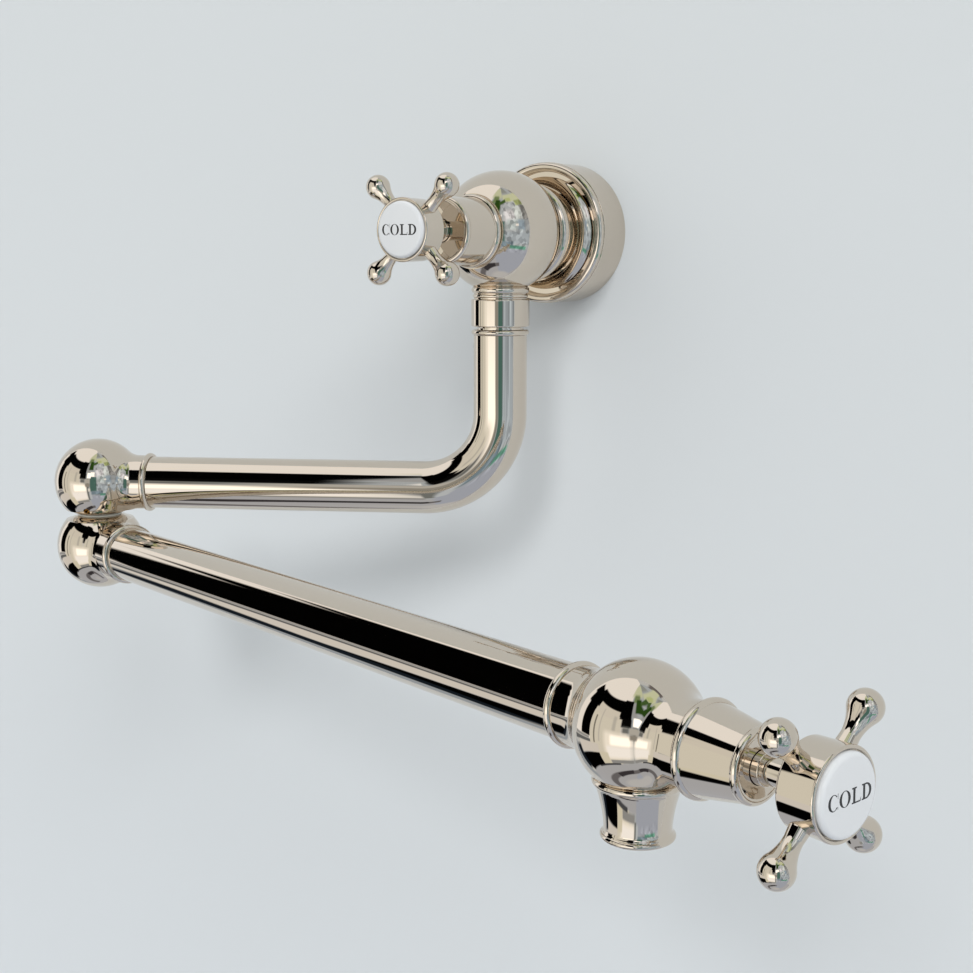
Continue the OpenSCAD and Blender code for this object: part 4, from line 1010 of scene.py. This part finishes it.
# What the polished metal mirrors
# Each row: azimuth from and to, elevation from and to, rise per degree, softness, colour, strength.
# Azimuth 0 looks from the wall into the room and grows towards +X. Later rows lie on top.
SURROUNDINGS = [
    (-180, 180, -90, 90, 0, 2, "D2D9DF", 1.0),
    # white above and on the left
    (-130, 9, -16, 90, 0, 3, "FBFCFD", 1.12),
    # glass on the right, lilac and white above, bluish below
    (9, 100, -48, 90, 0, 3, "BCC8D4", 1.0),
    (42, 64, 17, 40, 0, 6, "E4EAF8", 1.05),
    (64, 80, 22, 46, 0, 5, "DAE8F0", 1.05),
    (46, 72, 4, 22, 0, 6, "C6D8E2", 1.0),
    (68, 82, 2, 21, 0, 5, "9DB3C8", 1.0),
    (71, 77, -4, 4, 0, 3, "DDF0FF", 1.0),
    (64, 69, 10, 14, 0, 2, "FFFFFF", 1.1),
    (40, 100, -22, 0, 0, 6, "B2C2D2", 1.0),
    (80, 93, 21, 46, 0, 3, "989DA2", 1.0),
    (92, 122, 58, 78, 0, 4, "787678", 1.0),
    # pale green over the glass
    (4, 40, 64, 86, 0, 6, "D9E4C6", 1.0),
    (42, 96, 56, 71, 0, 4, "DDE8C9", 1.0),
    (50, 66, 57, 64, 0, 3, "C9DA9E", 1.0),
    (73, 93, 47, 57, 0, 3, "B3C48C", 1.0),
    (40, 72, 74, 92, 0, 6, "A0A9AA", 1.0),
    (12, 30, 54, 68, 0, 5, "7F9668", 1.0),
    # grey-blue worktop with its dark edge
    (-180, 180, -90, -47.5, 0, 2, "BDC4D0", 1.0),
    (22, 100, -90, -30, 0, 4, "B4C0D6", 1.0),
    (-180, 180, -95, -79, 0, 5, "CDD3DB", 1.0),
    (-120, 30, -68, -60.5, 0.04, 2, "74757C", 1.0),
    (-34, 16, -68, -60.5, 0.09, 2, "3F3E44", 1.0),
    # black frame round the beige panel
    (-76, 13, 28, 54.8, 0.115, 2, "020202", 1.0),
    (-91, -63, 30, 42.5, 0, 2, "020202", 1.0),
    (-86, -61, 20, 34, 0, 2, "020202", 1.0),
    (-81, -60, -13, 28, 0, 1.5, "020202", 1.0),
    (-60, -3, -48, 26, 0, 1.5, "EDEDE4", 1.0),
    (-57, -9, 20, 34.5, 0, 1.5, "EAE9E2", 1.0),
    (-52.5, -49.5, -19, 17, 0, 1.2, "8A8A84", 1.0),
    (-42, -39.5, -16, 30, 0, 1.5, "D5D6D2", 1.0),
    (-18, -12, 4, 26, 0, 3, "CFD1CC", 1.0),
    (-8, 14, 24, 56, 0, 2, "020202", 1.0),
    (-3, 15, 12, 26, 0, 2.5, "0A0A0A", 1.0),
    (-1, 12, 2, 13, 0, 6, "7B8082", 1.0),
    # low window with its glow
    (-31, 16, -41, 1, 0, 8, "FDFCF6", 1.2),
    (-20, 15, -18, -3, 0, 5, "FFFEFA", 1.75),
    (-27, 15, -37, -20, 0, 5, "FAFCFF", 1.3),
    (-44, -27, -47, -30, 0, 3, "ECEBDB", 1.0),
    (-26, 17, -47, -41, 0, 2, "A0A5AA", 1.0),
    (-62, -8, -49.5, -46.5, 0, 1, "50545C", 1.0),
    # edges of shelves low on the left
    (-100, -60, -20, -16.5, 0, 1, "70757A", 1.0),
    (-98, -62, -16, -13.5, 0, 1, "A8ACB2", 1.0),
    (-90, -44, -31, -20, 0, 1.5, "EAEAE9", 1.0),
    (-92, -45, -48, -31.5, 0, 1.5, "030303", 1.0),
    (-101, -89, -44, -24, 0, 3, "1A222C", 1.0),
    (-113, -101, -50, -20, 0, 5, "A3AFBC", 1.0),
    # upright grey and green parts beside the glass, and the small bright window
    (17, 22.5, -42, 14, 0, 1.5, "7F8688", 1.0),
    (22, 29, -40, -20, 0, 3, "CBD8E6", 1.0),
    (12, 27, 2, 13, 0, 3, "C6C8C6", 1.0),
    (13, 26, -7, 2, 0, 4, "A09F9A", 1.0),
    (26, 43, -19, 19, 0, 2.5, "547A76", 1.0),
    (28, 60, -28, -18, 0, 4, "8299AC", 1.0),
    (14, 24, 30, 53, 0, 3, "B0B6BE", 1.0),
    (20, 34, 37, 60, 0, 3, "31521F", 1.0),
    (31, 49, 38, 45, 0.35, 2.5, "4C6B3A", 1.0),
    (52, 88, -31, -25, 0, 2.5, "6FB0A2", 1.0),
    (20, 26, -19, -11, 0, 2, "F4F8FA", 1.0),
    (18, 28, 15.5, 29, 0, 1.5, "FFFFFF", 1.9),
    (27, 38, 20, 31.5, 0, 1.5, "FFFFFF", 1.7),
]


def world_light():
    """The world: even light, a plain backdrop for the camera, and the surroundings in mirrors."""
    world = bpy.data.worlds.new("studio")
    bpy.context.scene.world = world
    world.use_nodes = True
    tree = world.node_tree
    tree.nodes.clear()
    ray = add(tree, "ShaderNodeTexCoord").outputs["Generated"]
    xyz = add(tree, "ShaderNodeSeparateXYZ", {0: ray})

    def worked(operation, a, b=0.0, c=0.0, clamp=False):
        return add(tree, "ShaderNodeMath", {0: a, 1: b, 2: c}, operation=operation,
                   use_clamp=clamp).outputs[0]

    away = worked("MULTIPLY", xyz.outputs["Y"], -1.0)
    azimuth = worked("MULTIPLY", worked("ARCTAN2", xyz.outputs["X"], away), math.degrees(1))
    elevation = worked("MULTIPLY", worked("ARCSINE", xyz.outputs["Z"]), math.degrees(1))

    def window(value, low, high, soft):
        off = worked("ABSOLUTE", worked("SUBTRACT", value, (low + high) / 2))
        return worked("MULTIPLY_ADD", off, -1 / soft, (high - low) / 2 / soft + 0.5, clamp=True)

    colour = None
    for az0, az1, el0, el1, rise, soft, code, strength in SURROUNDINGS:
        shown = [c * strength for c in srgb(code)[:3]] + [1.0]
        if colour is None:
            colour = add(tree, "ShaderNodeRGB").outputs[0]
            colour.default_value = shown
            continue
        level = worked("MULTIPLY_ADD", azimuth, -rise, elevation) if rise else elevation
        mask = worked("MULTIPLY", window(azimuth, az0, az1, soft), window(level, el0, el1, soft))
        # Sockets 6 and 7 of a colour mix are its two colours, and its output 2 is the result
        colour = add(tree, "ShaderNodeMix", {"Factor": mask, 6: colour, 7: shown},
                     data_type="RGBA").outputs[2]
    glass = worked("MULTIPLY", window(azimuth, *GLASS_AZIMUTH), window(elevation, *GLASS_ELEVATION))
    flat = add(tree, "ShaderNodeCombineXYZ", {0: azimuth, 1: elevation})
    facets = add(tree, "ShaderNodeTexVoronoi", {
        "Vector": flat.outputs[0], "Scale": FACETS_PER_DEGREE, "Randomness": 1.0})
    shine = add(tree, "ShaderNodeSeparateColor", {0: facets.outputs["Color"]})
    glint = add(tree, "ShaderNodeMapRange", {
        "Value": shine.outputs[0], "From Min": 0.0, "From Max": 1.0,
        "To Min": FACET_DARK, "To Max": FACET_BRIGHT})
    # Sockets 2 and 3 of a number mix are its two numbers
    level = add(tree, "ShaderNodeMix", {"Factor": glass, 2: 1.0, 3: glint.outputs["Result"]},
                data_type="FLOAT")
    path = add(tree, "ShaderNodeLightPath")
    mirrored = add(tree, "ShaderNodeBackground", {"Color": colour, "Strength": level.outputs[0]})
    ambient = add(tree, "ShaderNodeBackground", {
        "Color": srgb(AMBIENT), "Strength": AMBIENT_STRENGTH})
    backdrop = add(tree, "ShaderNodeBackground", {"Color": srgb(BACKDROP), "Strength": 1.0})
    inner = add(tree, "ShaderNodeMixShader", {
        0: path.outputs["Is Glossy Ray"], 1: ambient.outputs[0], 2: mirrored.outputs[0]})
    outer = add(tree, "ShaderNodeMixShader", {
        0: path.outputs["Is Camera Ray"], 1: inner.outputs[0], 2: backdrop.outputs[0]})
    add(tree, "ShaderNodeOutputWorld", {"Surface": outer.outputs[0]})


world_light()
bpy.context.scene.view_settings.view_transform = "Standard"
